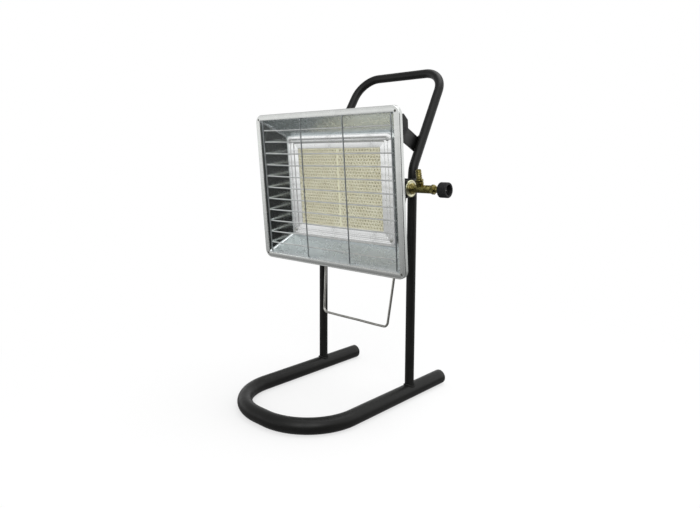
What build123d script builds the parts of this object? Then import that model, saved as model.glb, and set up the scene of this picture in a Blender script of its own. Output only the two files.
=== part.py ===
from build123d import *
import os
from math import asin, atan2, cos, degrees, hypot, pi, radians, sin, tan

# Portable propane heater: an infrared burner head with a folded reflector and a wire guard,
# hung between the posts of a bent-tube stand whose top is its carrying handle.
# Millimetres. X points to the right as one faces the heater, -Y is its front, Z is up.
# The origin is on the floor, midway between the two posts.

os.makedirs("parts", exist_ok=True)

# ---------------------------------------------------------------- driving dimensions: stand
post_spacing = 200.0          # between the axes of the two posts
post_diameter = 15.0
post_wall = 1.5
bend_height = 380.0           # where the axes of a post and its leaning upright would cross
bend_radius = 46.0
handle_lean = 31.0            # degrees behind the vertical
handle_length = 191.5         # along the lean, from the bend to the axis of the grip bar
handle_width = 184.0          # between the axes of the uprights at the grip bar
handle_corner_radius = 41.0
base_diameter = 24.0
base_wall = 1.8
base_front = 233.0            # from the posts forward to the axis of the base's front run
base_rear = 89.0              # from the posts back to the open ends of the base
base_corner_radius = 90.0
cap_dome = 8.0
cap_spigot = 14.0
cap_clearance = 0.05

# ---------------------------------------------------------------- driving dimensions: head
head_forward = 102.0          # from the posts forward to the middle of the rim's face
head_height = 345.0
head_tilt = 5.0               # degrees that the face looks down
rim_width = 314.0
rim_height = 252.0
rim_side = 10.5               # width of the rim's face at the sides
rim_top = 9.5                 # and at the top and bottom
rim_lip = 7.0                 # depth of the rim's turned edge
rim_corner = 14.0
rim_fold = 2.0                # outside radius of the fold between face and lip
rim_relief = 3.4              # holes in the corners of the face
relief_side = 3.0             # of their middles, outside the sides of the opening
relief_top = 1.5              # and outside its top and bottom
sheet = 1.0                   # steel sheet of rim, reflector and burner frame
reflector_play = 0.3          # between the reflector's front flange and the rim's lip
reflector_depth = 36.0        # from the rim's face back to the seat of the burner frame

guard_wire = 2.2
guard_side_gap = 6.5          # from the opening's sides in to the outer upright wires
guard_end_gap = 3.0           # from the opening's top and bottom in to the turned ends
guard_uprights = 4
guard_bars = 11
guard_pitch = 19.6
guard_depth = 2.0             # of the upright wires' axes behind the rim's face
guard_end = 9.0               # depth that the turned ends reach
guard_bend = 3.0
guard_bite = 0.4              # how far the welded wires sink into each other
guard_overhang = 1.0
guard_hole_play = 0.4

frame_band_side = 23.5        # from the ceramic's sides out to the frame's edge
frame_band_top = 20.5         # and from its top and bottom
frame_side_gap = 3.5          # from the frame's sides out to the reflector's walls
frame_top_gap = 1.5           # and from its top and bottom
frame_corner = 8.0
frame_edge = 0.8              # radius of the pressed outer edges
frame_rise = 3.5              # height of the outer ridge above the seat
ridge_side = 6.5              # width of the ridge at the sides
ridge_top = 4.5               # and at the top and bottom
ridge_slope = 2.6             # width of the slope from the ridge down to the terrace
terrace_drop = 1.3            # of the terrace below the ridge
terrace_side = 5.0            # width of the terrace at the sides
terrace_top = 3.6             # and at the top and bottom
terrace_slope = 1.8           # width of the slope from the terrace down to the land
step_corner = 4.0             # radius of the corners of ridge and terrace
frame_lap = 1.0               # how far the window's edge covers the ceramic
seat_side_gap = 7.0           # from the ceramic's sides out to the reflector's rear flange
seat_top_gap = 4.0            # and from its top and bottom
screw_side = 8.3              # screws inside the frame's sides
screw_top = 9.0               # and inside its top and bottom
screw_seat = 7.2              # round flats under the screws' heads
screw_diameter = 3.5
screw_length = 11.0           # under the head
screw_head = 6.0
screw_head_height = 2.2
screw_play = 0.1

plaque_width = 90.75
plaque_height = 132.0
plaque_thickness = 13.0
seam_width = 2.5
gasket_thickness = 2.0
gasket_setback = 11.0         # gasket's outer edge inside the burner frame's
gasket_sleeve = 8.0           # how far the gasket wraps the sides of the ceramic
gasket_play = 0.2

housing_wall = 1.2
housing_gap = 3.0             # between the ceramic and the walls of the burner housing
housing_flange_inset = 1.5    # housing flange inside the burner frame's edge
housing_depth = 39.0
housing_corner = 6.0
housing_edge = 3.0            # radius round the rear wall
housing_ledge = 3.0           # how far the ledge reaches under the ceramic's edge

mixing_diameter = 20.0
mixing_wall = 1.0
mixing_length = 150.0         # with its mouth
mixing_play = 0.2
mouth_diameter = 26.0
mouth_length = 5.0
mouth_flange = 27.0

# ---------------------------------------------------------------- driving dimensions: gas side
gas_setback = 14.0            # gas axis in front of the housing's rear
carrier_offset = 122.0        # inner face of the valve's carrier, from the middle of the head
carrier_thickness = 2.5
carrier_width = 27.0
carrier_reach = 11.0          # in front of the gas axis
carrier_foot = 58.0           # distance of the foot's end from the middle of the head
carrier_bend = 3.5
injector_hex = 12.0
injector_hex_length = 5.0
injector_nose = 7.6
injector_length = 14.0        # from the carrier to the tip
injector_taper = 1.5
injector_orifice = 1.2
injector_passage = 4.0
nipple_diameter = 8.0         # valve's nipple, through the carrier into the injector
nipple_length = 9.0
thread_play = 0.05
valve_washer_diameter = 26.6
valve_washer_thickness = 2.0
valve_shoulder_diameter = 17.0
valve_shoulder_length = 4.0
valve_diameter = 12.4
valve_length = 36.5           # with its shoulder
valve_edge = 0.6
inlet_offset = 16.5           # inlet's axis from the washer's face
inlet_turn = 8.0              # degrees that the inlet leans to the front of the head
inlet_boss_diameter = 11.6
inlet_boss_height = 11.0      # from the gas axis
inlet_port = 4.5
tail_hex = 11.0
tail_hex_length = 4.0
tail_length = 19.0            # of the whole hose tail above the boss
tail_diameter = 7.4
tail_spigot_diameter = 8.0
tail_spigot_length = 4.0
barb_diameter = 9.2
barb_count = 4
gland_hex = 13.0
gland_hex_length = 6.0
gland_neck_diameter = 9.0
gland_neck_length = 7.0
spindle_diameter = 6.0
spindle_clearance = 0.05
spindle_inside = 18.0         # length of the spindle inside the valve body
knob_gap = 2.5
knob_diameter = 23.0
knob_length = 14.5
knob_flutes = 36
knob_flute_radius = 0.8
knob_flute_depth = 0.4
knob_recess = 15.5
knob_recess_depth = 7.0
knob_edge = 1.2
knob_screw_diameter = 3.0
knob_screw_head = 5.6
knob_screw_head_height = 2.0
knob_screw_length = 6.0       # under the head

# ---------------------------------------------------------------- driving dimensions: tilt pivots
pivot_setback = 8.0           # pivot's axis behind the housing's rear
pivot_rise = 89.0             # and above the middle of the head
strap_width = 25.0
strap_thickness = 3.0
strap_bite = 2.0              # how far the strap is let into the upright's side
strap_weld_height = 418.0     # where the middle of the strap meets the upright's axis
pivot_bolt_diameter = 6.0
pivot_clearance = 0.05
pivot_hex = 10.0
pivot_head_height = 4.0
pivot_nut_height = 6.0
pivot_thread_end = 2.0
friction_washer_diameter = 20.0
friction_washer_thickness = 1.2
pivot_washer_diameter = 14.0
pivot_washer_thickness = 1.2
clamp_gap = 0.1               # running gap between the strap and each washer
ear_thickness = 2.5
ear_back = 16.0               # ear's rear edge behind the pivot
ear_rise = 25.0               # ear's top above the pivot
ear_drop = 17.0               # where the ear narrows, below the pivot
ear_chamfer = 10.0
ear_corner = 3.0
ear_web = 6.0                 # depth of the narrow part, behind the housing
foot_width = 22.0
foot_low = 30.0               # foot's edges above the middle of the head
foot_high = 64.0
rear_screw_diameter = 4.0
rear_screw_head = 7.6
rear_screw_head_height = 2.4
rear_screw_length = 5.5       # under the head
rear_screw_inset = 8.0        # of a screw from the edges of what it holds

# ---------------------------------------------------------------- driving dimensions: wire bail
bail_wire = 4.0
bail_height = 345.0           # of its pins in the posts
bail_length = 226.5
bail_lean = 6.6               # degrees in front of the vertical
bail_top = 176.0              # between the axes of the legs, at the pins
bail_bottom = 145.2           # and at the bottom bar
bail_pin_bend = 4.0
bail_corner = 8.0
bail_pin_reach = 5.5          # of a pin behind the inner side of its post
bail_clearance = 0.05

# ---------------------------------------------------------------- the head's own frame
# It lies on the rim's face: local x is to the right, local y rises along the face and local
# z comes out of the face. A depth is measured back from the face.
tilt = radians(head_tilt)
face = Plane(
    origin=(0, -head_forward, head_height),
    x_dir=(1, 0, 0),
    z_dir=(0, -cos(tilt), -sin(tilt)),
)
face_axis = Axis(face.origin, face.z_dir)


def head_point(x, rise, depth):
    """World position of a point given in the head's frame."""
    return face.from_local_coords((x, rise, -depth))


def facing(depth, x=0.0, rise=0.0):
    """Plane parallel to the rim's face, that far behind it, with its normal to the front."""
    return Plane(origin=head_point(x, rise, depth), x_dir=face.x_dir, z_dir=face.z_dir)


def across(x, rise=0.0, depth=0.0):
    """Plane square to X in the head: its x runs back from the face, its y up along it."""
    return Plane(origin=head_point(x, rise, depth), x_dir=-face.z_dir, z_dir=face.x_dir)


def level(rise=0.0, depth=0.0):
    """Plane square to the head's upright direction: its x is X, its y runs back."""
    return Plane(origin=head_point(0, rise, depth), x_dir=face.x_dir, z_dir=face.y_dir)


# ---------------------------------------------------------------- shared shapes
def rectangle(size, corner=0.0, mode=Mode.ADD):
    """Rectangle with round corners, or sharp ones where the radius is nought."""
    if corner > 0:
        RectangleRounded(size[0], size[1], corner, mode=mode)
    else:
        Rectangle(size[0], size[1], mode=mode)


def plate(size, front, back, corner=0.0, mode=Mode.ADD):
    """Add or cut a rectangle of the head, between two depths."""
    with BuildSketch(facing(back)) as outline:
        rectangle(size, corner)
    extrude(outline.sketch, amount=back - front, mode=mode)


def ring(outer, inner, front, back, corners=(0.0, 0.0), mode=Mode.ADD):
    """Add or cut a rectangular ring of the head, between two depths."""
    with BuildSketch(facing(back)) as outline:
        rectangle(outer, corners[0])
        rectangle(inner, corners[1], mode=Mode.SUBTRACT)
    extrude(outline.sketch, amount=back - front, mode=mode)


def taper(front_size, rear_size, front, back, corners=(0.0, 0.0), mode=Mode.ADD):
    """Add or cut a four-sided taper of the head, between two depths."""
    with BuildSketch(facing(front)) as mouth:
        rectangle(front_size, corners[0])
    with BuildSketch(facing(back)) as throat:
        rectangle(rear_size, corners[1])
    loft([mouth.sketch, throat.sketch], mode=mode)


def disc(plane, diameter, length, mode=Mode.ADD):
    """Add or cut a cylinder that starts on a plane and runs along its normal."""
    with BuildSketch(plane) as outline:
        Circle(diameter / 2)
    extrude(outline.sketch, amount=length, mode=mode)


def hexagon(plane, across_flats, length):
    """Add a hexagonal prism that starts on a plane and runs along its normal."""
    with BuildSketch(plane) as outline:
        RegularPolygon(across_flats / 2, 6, major_radius=False)
    extrude(outline.sketch, amount=length)


def turned(plane, axis, *outline, mode=Mode.ADD):
    """Add or cut the solid that an outline in a plane makes when turned about an axis."""
    with BuildSketch(plane) as profile:
        with BuildLine():
            Polyline(*outline, close=True)
        make_face()
    revolve(profile.sketch, axis=axis, mode=mode)


def tube(path, diameter, wall=None):
    """Sweep a round wire, or a tube where a wall is given, along a path."""
    with BuildSketch(Plane(origin=path @ 0, z_dir=path % 0)) as section:
        Circle(diameter / 2)
        if wall:
            Circle(diameter / 2 - wall, mode=Mode.SUBTRACT)
    sweep(section.sketch, path=path)


def write(piece, label):
    """Name a finished piece and write it to its own file."""
    piece.part.label = label
    export_step(piece.part, f"parts/{label}.step")


def write_pair(piece, label):
    """Write a right-hand piece, and its mirror image as the left-hand one."""
    write(piece, f"{label}_right")
    with BuildPart() as twin:
        mirror(piece.part, about=Plane.YZ)
    write(twin, f"{label}_left")


# ================================================================ stand
post_x = post_spacing / 2
post_radius = post_diameter / 2
base_radius = base_diameter / 2
lean = radians(handle_lean)
grip_y = handle_length * sin(lean)
grip_z = bend_height + handle_length * cos(lean)

# Base: one tube bent to a U that is open at the back. It lies on the floor.
with BuildPart() as base_tube:
    with BuildLine(Plane.XY.offset(base_radius)) as base_path:
        FilletPolyline(
            (-post_x, base_rear),
            (-post_x, -base_front),
            (post_x, -base_front),
            (post_x, base_rear),
            radius=base_corner_radius,
        )
    tube(base_path.line, base_diameter, base_wall)
write(base_tube, "base_tube")

# Domed plugs close the two rear ends of the base. The dome is part of a sphere.
dome_radius = (base_radius**2 + cap_dome**2) / (2 * cap_dome)
dome_centre = base_rear + cap_dome - dome_radius
dome_start = degrees(asin((base_rear - dome_centre) / dome_radius))
dome_arc = degrees(pi / 2) - dome_start
with BuildPart() as end_cap:
    with BuildSketch(Plane.XY.offset(base_radius)):
        with BuildLine():
            dome = CenterArc((post_x, dome_centre), dome_radius, dome_start, arc_size=dome_arc)
            spigot_x = post_x + base_radius - base_wall - cap_clearance
            Polyline(
                dome @ 1,
                (post_x, base_rear - cap_spigot),
                (spigot_x, base_rear - cap_spigot),
                (spigot_x, base_rear),
                dome @ 0,
            )
        make_face()
    revolve(axis=Axis((post_x, 0, base_radius), (0, 1, 0)))
write_pair(end_cap, "end_cap")

# Posts and handle: one tube that rises from the base, leans back and crosses over as a grip.
with BuildPart() as post_handle_tube:
    with BuildLine() as post_path:
        FilletPolyline(
            (-post_x, 0, base_radius),
            (-post_x, 0, bend_height),
            (-handle_width / 2, grip_y, grip_z),
            (handle_width / 2, grip_y, grip_z),
            (post_x, 0, bend_height),
            (post_x, 0, base_radius),
            radius=(bend_radius, handle_corner_radius, handle_corner_radius, bend_radius),
        )
    tube(post_path.line, post_diameter, post_wall)
    # Each foot is notched to sit on the round back of the base tube.
    with BuildSketch(Plane.XZ):
        with Locations((-post_x, base_radius), (post_x, base_radius)):
            Circle(base_radius)
    extrude(amount=post_diameter, both=True, mode=Mode.SUBTRACT)
    # Holes in the facing sides of the posts take the pins of the wire bail.
    with BuildSketch(Plane.YZ):
        with Locations((0, bail_height)):
            Circle(bail_wire / 2 + bail_clearance)
    extrude(amount=post_x, both=True, mode=Mode.SUBTRACT)
write(post_handle_tube, "post_handle_tube")

# ================================================================ head: depths and places
opening = (rim_width - 2 * rim_side, rim_height - 2 * rim_top)
seat_back = reflector_depth + sheet
housing_front = seat_back + gasket_thickness
housing_rear = housing_front + housing_depth
ledge_front = reflector_depth + plaque_thickness
ceramic = (2 * plaque_width + seam_width, plaque_height)
seat_opening = (ceramic[0] + 2 * seat_side_gap, ceramic[1] + 2 * seat_top_gap)
frame_width = ceramic[0] + 2 * frame_band_side
frame_height = ceramic[1] + 2 * frame_band_top
reflector_rear_width = frame_width + 2 * frame_side_gap
reflector_rear_height = frame_height + 2 * frame_top_gap
frame_front = reflector_depth - frame_rise
terrace_front = frame_front + terrace_drop
screw_x = frame_width / 2 - screw_side
screw_rise = frame_height / 2 - screw_top
screw_places = [(x, rise) for x in (-screw_x, screw_x) for rise in (-screw_rise, screw_rise)]
gas_depth = housing_rear - gas_setback
gas_plane = level(0, gas_depth)
gas_axis = Axis(gas_plane.origin, gas_plane.x_dir)
carrier_face = carrier_offset + carrier_thickness
washer_x = carrier_face + valve_washer_thickness
nipple_start = washer_x - nipple_length

# The tilt pivots stand above and behind the housing, in line with the posts' straps.
pivot_depth = housing_rear + pivot_setback
pivot = head_point(0, pivot_rise, pivot_depth)
weld_share = (strap_weld_height - bend_height) / (grip_z - bend_height)
upright_x = post_x + (handle_width / 2 - post_x) * weld_share
strap_outer = upright_x - post_radius + strap_bite
strap_inner = strap_outer - strap_thickness
washer_start = strap_outer + clamp_gap
ear_start = washer_start + friction_washer_thickness
ear_end = ear_start + ear_thickness
foot_screw_x = ear_end - foot_width + rear_screw_inset
foot_screw_places = [
    (sign * foot_screw_x, rise)
    for sign in (-1, 1)
    for rise in (foot_low + rear_screw_inset, foot_high - rear_screw_inset)
]
carrier_screw_places = [(carrier_foot + rear_screw_inset * n, 0) for n in (1, 3)]


def screw_holes(places, diameter, front, back):
    """Cut the clearance holes of a set of screws, between two depths."""
    with BuildSketch(facing(back)) as holes:
        with Locations(*places):
            Circle(diameter / 2 + screw_play)
    extrude(holes.sketch, amount=back - front, mode=Mode.SUBTRACT)


# ================================================================ head: rim and reflector
# Rim: a pressed frame with a flat face, a folded outer edge and a relief hole at each corner.
with BuildPart() as rim_frame:
    plate((rim_width, rim_height), 0, rim_lip, rim_corner)
    fillet(rim_frame.faces().sort_by(face_axis)[-1].edges(), rim_fold)
    inside = (rim_width - 2 * sheet, rim_height - 2 * sheet)
    plate(inside, sheet, rim_lip, rim_corner - sheet, mode=Mode.SUBTRACT)
    plate(opening, 0, sheet, sheet, mode=Mode.SUBTRACT)
    with BuildSketch(facing(sheet)):
        with GridLocations(opening[0] + 2 * relief_side, opening[1] + 2 * relief_top, 2, 2):
            Circle(rim_relief / 2)
    extrude(amount=sheet, mode=Mode.SUBTRACT)
write(rim_frame, "rim_frame")

# Reflector: a funnel folded from four sheet panels. Each has a flange under the rim's face, a
# sloping wall and a rear flange that carries the burner. The guard hooks into two of them.
funnel_length = reflector_depth - sheet
side_slope = (opening[0] - reflector_rear_width) / 2 / funnel_length
top_slope = (opening[1] - reflector_rear_height) / 2 / funnel_length
side_wall = sheet * hypot(1, side_slope)
top_wall = sheet * hypot(1, top_slope)
guard_width = opening[0] - 2 * guard_side_gap
guard_height = opening[1] - 2 * guard_end_gap
upright_pitch = guard_width / (guard_uprights - 1)

with BuildPart() as funnel:
    taper(
        (opening[0] + 2 * side_wall, opening[1] + 2 * top_wall),
        (
            reflector_rear_width + 2 * (side_wall - sheet * side_slope),
            reflector_rear_height + 2 * (top_wall - sheet * top_slope),
        ),
        sheet,
        seat_back,
    )
    hem = 2 * (sheet + reflector_play)
    plate((rim_width - hem, rim_height - hem), sheet, 2 * sheet, rim_corner - hem / 2)
    rear = (reflector_rear_width, reflector_rear_height)
    taper(opening, rear, sheet, reflector_depth, mode=Mode.SUBTRACT)
    plate(seat_opening, reflector_depth, seat_back, mode=Mode.SUBTRACT)
    screw_holes(screw_places, screw_diameter, reflector_depth, seat_back)
    with BuildSketch(facing(guard_end)):
        with GridLocations(upright_pitch, guard_height, guard_uprights, 2):
            Circle(guard_wire / 2 + guard_hole_play)
    extrude(amount=guard_end, mode=Mode.SUBTRACT)

# The panels meet on mitres that pass through the corners of the funnel.
mitre = top_slope / side_slope


def mitre_rise(x):
    """Height of the upper right mitre at a distance from the middle of the head."""
    return reflector_rear_height / 2 + (x - reflector_rear_width / 2) * mitre


def mitre_reach(rise):
    """Distance of the upper right mitre from the middle at a height."""
    return reflector_rear_width / 2 + (rise - reflector_rear_height / 2) / mitre


mitre_start = min(seat_opening[0] / 2, mitre_reach(seat_opening[1] / 2))
mitre_end = max(rim_width / 2, mitre_reach(rim_height / 2))
inner = (mitre_start, mitre_rise(mitre_start))
outer = (mitre_end, mitre_rise(mitre_end))
side_wedge = [inner, outer, (outer[0], -outer[1]), (inner[0], -inner[1])]
top_wedge = [inner, outer, (-outer[0], outer[1]), (-inner[0], inner[1])]
for name, wedge, sign in (
    ("right", side_wedge, 1),
    ("left", side_wedge, -1),
    ("top", top_wedge, 1),
    ("bottom", top_wedge, -1),
):
    with BuildPart() as panel:
        add(funnel.part)
        with BuildSketch(facing(seat_back)):
            Polygon(*[(sign * x, sign * rise) for x, rise in wedge], align=None)
        extrude(amount=seat_back, mode=Mode.INTERSECT)
    write(panel, f"reflector_{name}")

# ================================================================ head: wire guard
# The upright wires hook through the top and bottom panels, and level bars are welded across
# behind them.
bar_depth = guard_depth + guard_wire - guard_bite
bar_length = guard_width + 2 * guard_overhang
with BuildPart() as guard_grille:
    for column in range(guard_uprights):
        with BuildLine(across(upright_pitch * column - guard_width / 2)) as upright_path:
            FilletPolyline(
                (guard_end, -guard_height / 2),
                (guard_depth, -guard_height / 2),
                (guard_depth, guard_height / 2),
                (guard_end, guard_height / 2),
                radius=guard_bend,
            )
        tube(upright_path.line, guard_wire)
    for row in range(guard_bars):
        rise = guard_pitch * (row - (guard_bars - 1) / 2)
        disc(across(-bar_length / 2, rise, bar_depth), guard_wire, bar_length)
write(guard_grille, "guard_grille")

# ================================================================ head: burner
# Burner frame: a pressed bezel. It steps down from a ridge along its edge to a terrace, and from
# there to the land round the window. Each corner has a round flat for a screw.
def smaller(size, side, top):
    """Size of a rectangle that lies inside another by a margin at its sides and at its top."""
    return (size[0] - 2 * side, size[1] - 2 * top)


frame_size = (frame_width, frame_height)
window = smaller(ceramic, frame_lap, frame_lap)
ridge_foot = smaller(frame_size, ridge_side, ridge_top)
terrace_edge = smaller(ridge_foot, ridge_slope, ridge_slope)
terrace_foot = smaller(terrace_edge, terrace_side, terrace_top)
land = smaller(terrace_foot, terrace_slope, terrace_slope)
land_front = reflector_depth - sheet
ridge_corners = (step_corner, step_corner - ridge_slope)
terrace_corners = (step_corner, step_corner - terrace_slope)
# The back of a slope lies outside its front, so that the sheet stays equally thick.
ridge_shift = sheet * tan(atan2(terrace_drop, ridge_slope) / 2)
terrace_shift = sheet * tan(atan2(land_front - terrace_front, terrace_slope) / 2)

with BuildPart() as frame_hollow:
    plate(smaller(frame_size, sheet, sheet), frame_front + sheet, reflector_depth, frame_corner - sheet)
    taper(
        smaller(ridge_foot, -ridge_shift, -ridge_shift),
        smaller(terrace_edge, -ridge_shift, -ridge_shift),
        frame_front + sheet,
        terrace_front + sheet,
        ridge_corners,
        mode=Mode.SUBTRACT,
    )
    taper(
        smaller(terrace_foot, -terrace_shift, -terrace_shift),
        smaller(land, -terrace_shift, -terrace_shift),
        terrace_front + sheet,
        reflector_depth,
        terrace_corners,
        mode=Mode.SUBTRACT,
    )
    for x, rise in screw_places:
        flat_back = facing(terrace_front + sheet, x, rise)
        disc(flat_back, screw_seat + 2 * sheet, terrace_drop, mode=Mode.SUBTRACT)

with BuildPart() as burner_frame:
    plate(frame_size, frame_front, reflector_depth, frame_corner)
    fillet(burner_frame.faces().sort_by(face_axis)[-1].edges(), frame_edge)
    taper(ridge_foot, terrace_edge, frame_front, terrace_front, ridge_corners, mode=Mode.SUBTRACT)
    taper(terrace_foot, land, terrace_front, land_front, terrace_corners, mode=Mode.SUBTRACT)
    for x, rise in screw_places:
        disc(facing(terrace_front, x, rise), screw_seat, terrace_drop, mode=Mode.SUBTRACT)
    add(frame_hollow.part, mode=Mode.SUBTRACT)
    plate(window, frame_front, reflector_depth, sheet, mode=Mode.SUBTRACT)
    screw_holes(screw_places, screw_diameter, frame_front, reflector_depth)
write(burner_frame, "burner_frame")

# The four screws of the frame go on through the reflector into the housing's flange.
with BuildPart() as frame_screws:
    for x, rise in screw_places:
        disc(facing(terrace_front, x, rise), screw_head, screw_head_height)
    chamfer(frame_screws.faces().group_by(face_axis)[-1].edges(), screw_head_height / 2)
    for x, rise in screw_places:
        disc(facing(terrace_front + screw_length, x, rise), screw_diameter, screw_length)
write(frame_screws, "frame_screws")

# Two ceramic plaques lie edge to edge, with a strip of cement between them.
plaque_x = (plaque_width + seam_width) / 2
for name, x in (("left", -plaque_x), ("right", plaque_x)):
    with BuildPart() as plaque:
        with BuildSketch(facing(ledge_front, x)):
            Rectangle(plaque_width, plaque_height)
        extrude(amount=plaque_thickness)
    write(plaque, f"plaque_{name}")

with BuildPart() as plaque_seam_strip:
    plate((seam_width, plaque_height), reflector_depth, ledge_front)
write(plaque_seam_strip, "plaque_seam_strip")

# A fibre gasket fills the seat round the ceramic, lies under the reflector's flange and wraps
# the sides of the ceramic inside the housing.
housing_inside = (ceramic[0] + 2 * housing_gap, ceramic[1] + 2 * housing_gap)
with BuildPart() as plaque_gasket:
    slack = 2 * gasket_play
    ring((seat_opening[0] - slack, seat_opening[1] - slack), ceramic, reflector_depth, seat_back)
    ring(
        smaller(frame_size, gasket_setback, gasket_setback),
        ceramic,
        seat_back,
        housing_front,
    )
    ring(
        (housing_inside[0] - slack, housing_inside[1] - slack),
        ceramic,
        housing_front,
        housing_front + gasket_sleeve,
        (housing_corner - housing_wall, 0),
    )
write(plaque_gasket, "plaque_gasket")

# Burner housing: a pressed box that holds the gas and air behind the ceramic. A ledge carries
# the ceramic, and the mixing tube comes in through one side.
housing_outside = (housing_inside[0] + 2 * housing_wall, housing_inside[1] + 2 * housing_wall)
flange_size = smaller(frame_size, housing_flange_inset, housing_flange_inset)
with BuildPart() as burner_housing:
    plate(housing_outside, housing_front, housing_rear, housing_corner)
    fillet(burner_housing.faces().sort_by(face_axis)[0].edges(), housing_edge)
    flange_corner = frame_corner - housing_flange_inset
    plate(flange_size, housing_front, housing_front + housing_wall, flange_corner)
    plate(
        housing_inside,
        housing_front,
        housing_rear - housing_wall,
        housing_corner - housing_wall,
        mode=Mode.SUBTRACT,
    )
    ring(
        (housing_inside[0] + housing_wall, housing_inside[1] + housing_wall),
        (ceramic[0] - 2 * housing_ledge, ceramic[1] - 2 * housing_ledge),
        ledge_front,
        ledge_front + housing_wall,
        (housing_corner, 0),
    )
    screw_holes(screw_places, screw_diameter, housing_front, housing_front + housing_wall)
    rear_places = foot_screw_places + carrier_screw_places
    screw_holes(rear_places, rear_screw_diameter, housing_rear - housing_wall, housing_rear)
    hole = mixing_diameter + 2 * mixing_play
    disc(across(0, 0, gas_depth), hole, housing_outside[0], mode=Mode.SUBTRACT)
write(burner_housing, "burner_housing")

# Mixing tube: gas and air enter its bell mouth and mix on their way across the housing.
wall_x = housing_outside[0] / 2
mouth_x = wall_x + mouth_length
bore_radius = mixing_diameter / 2 - mixing_wall
with BuildPart() as mixing_tube:
    turned(
        gas_plane,
        gas_axis,
        (mouth_x - mixing_length, bore_radius),
        (wall_x, bore_radius),
        (mouth_x, mouth_diameter / 2 - mixing_wall),
        (mouth_x, mouth_diameter / 2),
        (wall_x + mixing_wall, bore_radius + 2 * mixing_wall),
        (wall_x + mixing_wall, mouth_flange / 2),
        (wall_x, mouth_flange / 2),
        (wall_x, mixing_diameter / 2),
        (mouth_x - mixing_length, mixing_diameter / 2),
    )
write(mixing_tube, "mixing_tube")

# ================================================================ head: gas valve
# Carrier: an angle of strip steel behind the housing that holds valve and injector in line
# with the mixing tube.
carrier_back = housing_rear + carrier_thickness
with BuildPart() as valve_carrier:
    with BuildSketch(level()) as angle:
        with BuildLine():
            Polyline(
                (carrier_foot, housing_rear),
                (carrier_offset, housing_rear),
                (carrier_offset, gas_depth - carrier_reach),
                (carrier_face, gas_depth - carrier_reach),
                (carrier_face, carrier_back),
                (carrier_foot, carrier_back),
                close=True,
            )
        make_face()
        fillet(angle.vertices().sort_by_distance((carrier_face, carrier_back))[0], carrier_bend)
    extrude(amount=carrier_width / 2, both=True)
    hole = nipple_diameter + 2 * thread_play
    disc(across(carrier_offset, 0, gas_depth), hole, carrier_thickness, mode=Mode.SUBTRACT)
    screw_holes(carrier_screw_places, rear_screw_diameter, housing_rear, carrier_back)
write(valve_carrier, "valve_carrier")

# Injector: a hexagon and a nose with a fine hole, screwed onto the valve's nipple.
tip_x = carrier_offset - injector_length
nose_radius = injector_nose / 2
with BuildPart() as injector:
    hexagon(across(carrier_offset - injector_hex_length, 0, gas_depth), injector_hex, injector_hex_length)
    turned(
        gas_plane,
        gas_axis,
        (carrier_offset - injector_hex_length, 0),
        (tip_x, 0),
        (tip_x, nose_radius - injector_taper),
        (tip_x + injector_taper, nose_radius),
        (carrier_offset - injector_hex_length, nose_radius),
    )
    disc(
        across(nipple_start, 0, gas_depth),
        nipple_diameter + 2 * thread_play,
        carrier_offset - nipple_start,
        mode=Mode.SUBTRACT,
    )
    disc(across(tip_x, 0, gas_depth), injector_orifice, injector_length, mode=Mode.SUBTRACT)
    disc(
        across(tip_x + injector_taper, 0, gas_depth),
        injector_passage,
        injector_length,
        mode=Mode.SUBTRACT,
    )
write(injector, "injector")

with BuildPart() as valve_washer:
    with BuildSketch(across(carrier_face, 0, gas_depth)):
        Circle(valve_washer_diameter / 2)
        Circle(nipple_diameter / 2 + thread_play, mode=Mode.SUBTRACT)
    extrude(amount=valve_washer_thickness)
write(valve_washer, "valve_washer")

# Valve body: nipple, shoulder and barrel in one turned piece, with a boss for the hose tail.
valve_end = washer_x + valve_length
inlet_x = washer_x + inlet_offset
inlet_lean = tilt + radians(inlet_turn)
inlet = Plane(
    origin=head_point(inlet_x, 0, gas_depth),
    x_dir=(1, 0, 0),
    z_dir=(0, -sin(inlet_lean), cos(inlet_lean)),
)
with BuildPart() as valve_body:
    turned(
        gas_plane,
        gas_axis,
        (nipple_start, 0),
        (nipple_start, nipple_diameter / 2),
        (washer_x, nipple_diameter / 2),
        (washer_x, valve_shoulder_diameter / 2),
        (washer_x + valve_shoulder_length - valve_edge, valve_shoulder_diameter / 2),
        (washer_x + valve_shoulder_length, valve_shoulder_diameter / 2 - valve_edge),
        (washer_x + valve_shoulder_length, valve_diameter / 2),
        (valve_end, valve_diameter / 2),
        (valve_end, 0),
    )
    disc(inlet, inlet_boss_diameter, inlet_boss_height)
    disc(inlet, inlet_port, inlet_boss_height, mode=Mode.SUBTRACT)
    disc(
        inlet.offset(inlet_boss_height - tail_spigot_length),
        tail_spigot_diameter + 2 * thread_play,
        tail_spigot_length,
        mode=Mode.SUBTRACT,
    )
    disc(across(nipple_start, 0, gas_depth), injector_passage, inlet_x - nipple_start, mode=Mode.SUBTRACT)
    disc(
        across(valve_end - spindle_inside, 0, gas_depth),
        spindle_diameter + 2 * spindle_clearance,
        spindle_inside,
        mode=Mode.SUBTRACT,
    )
write(valve_body, "valve_body")

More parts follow.
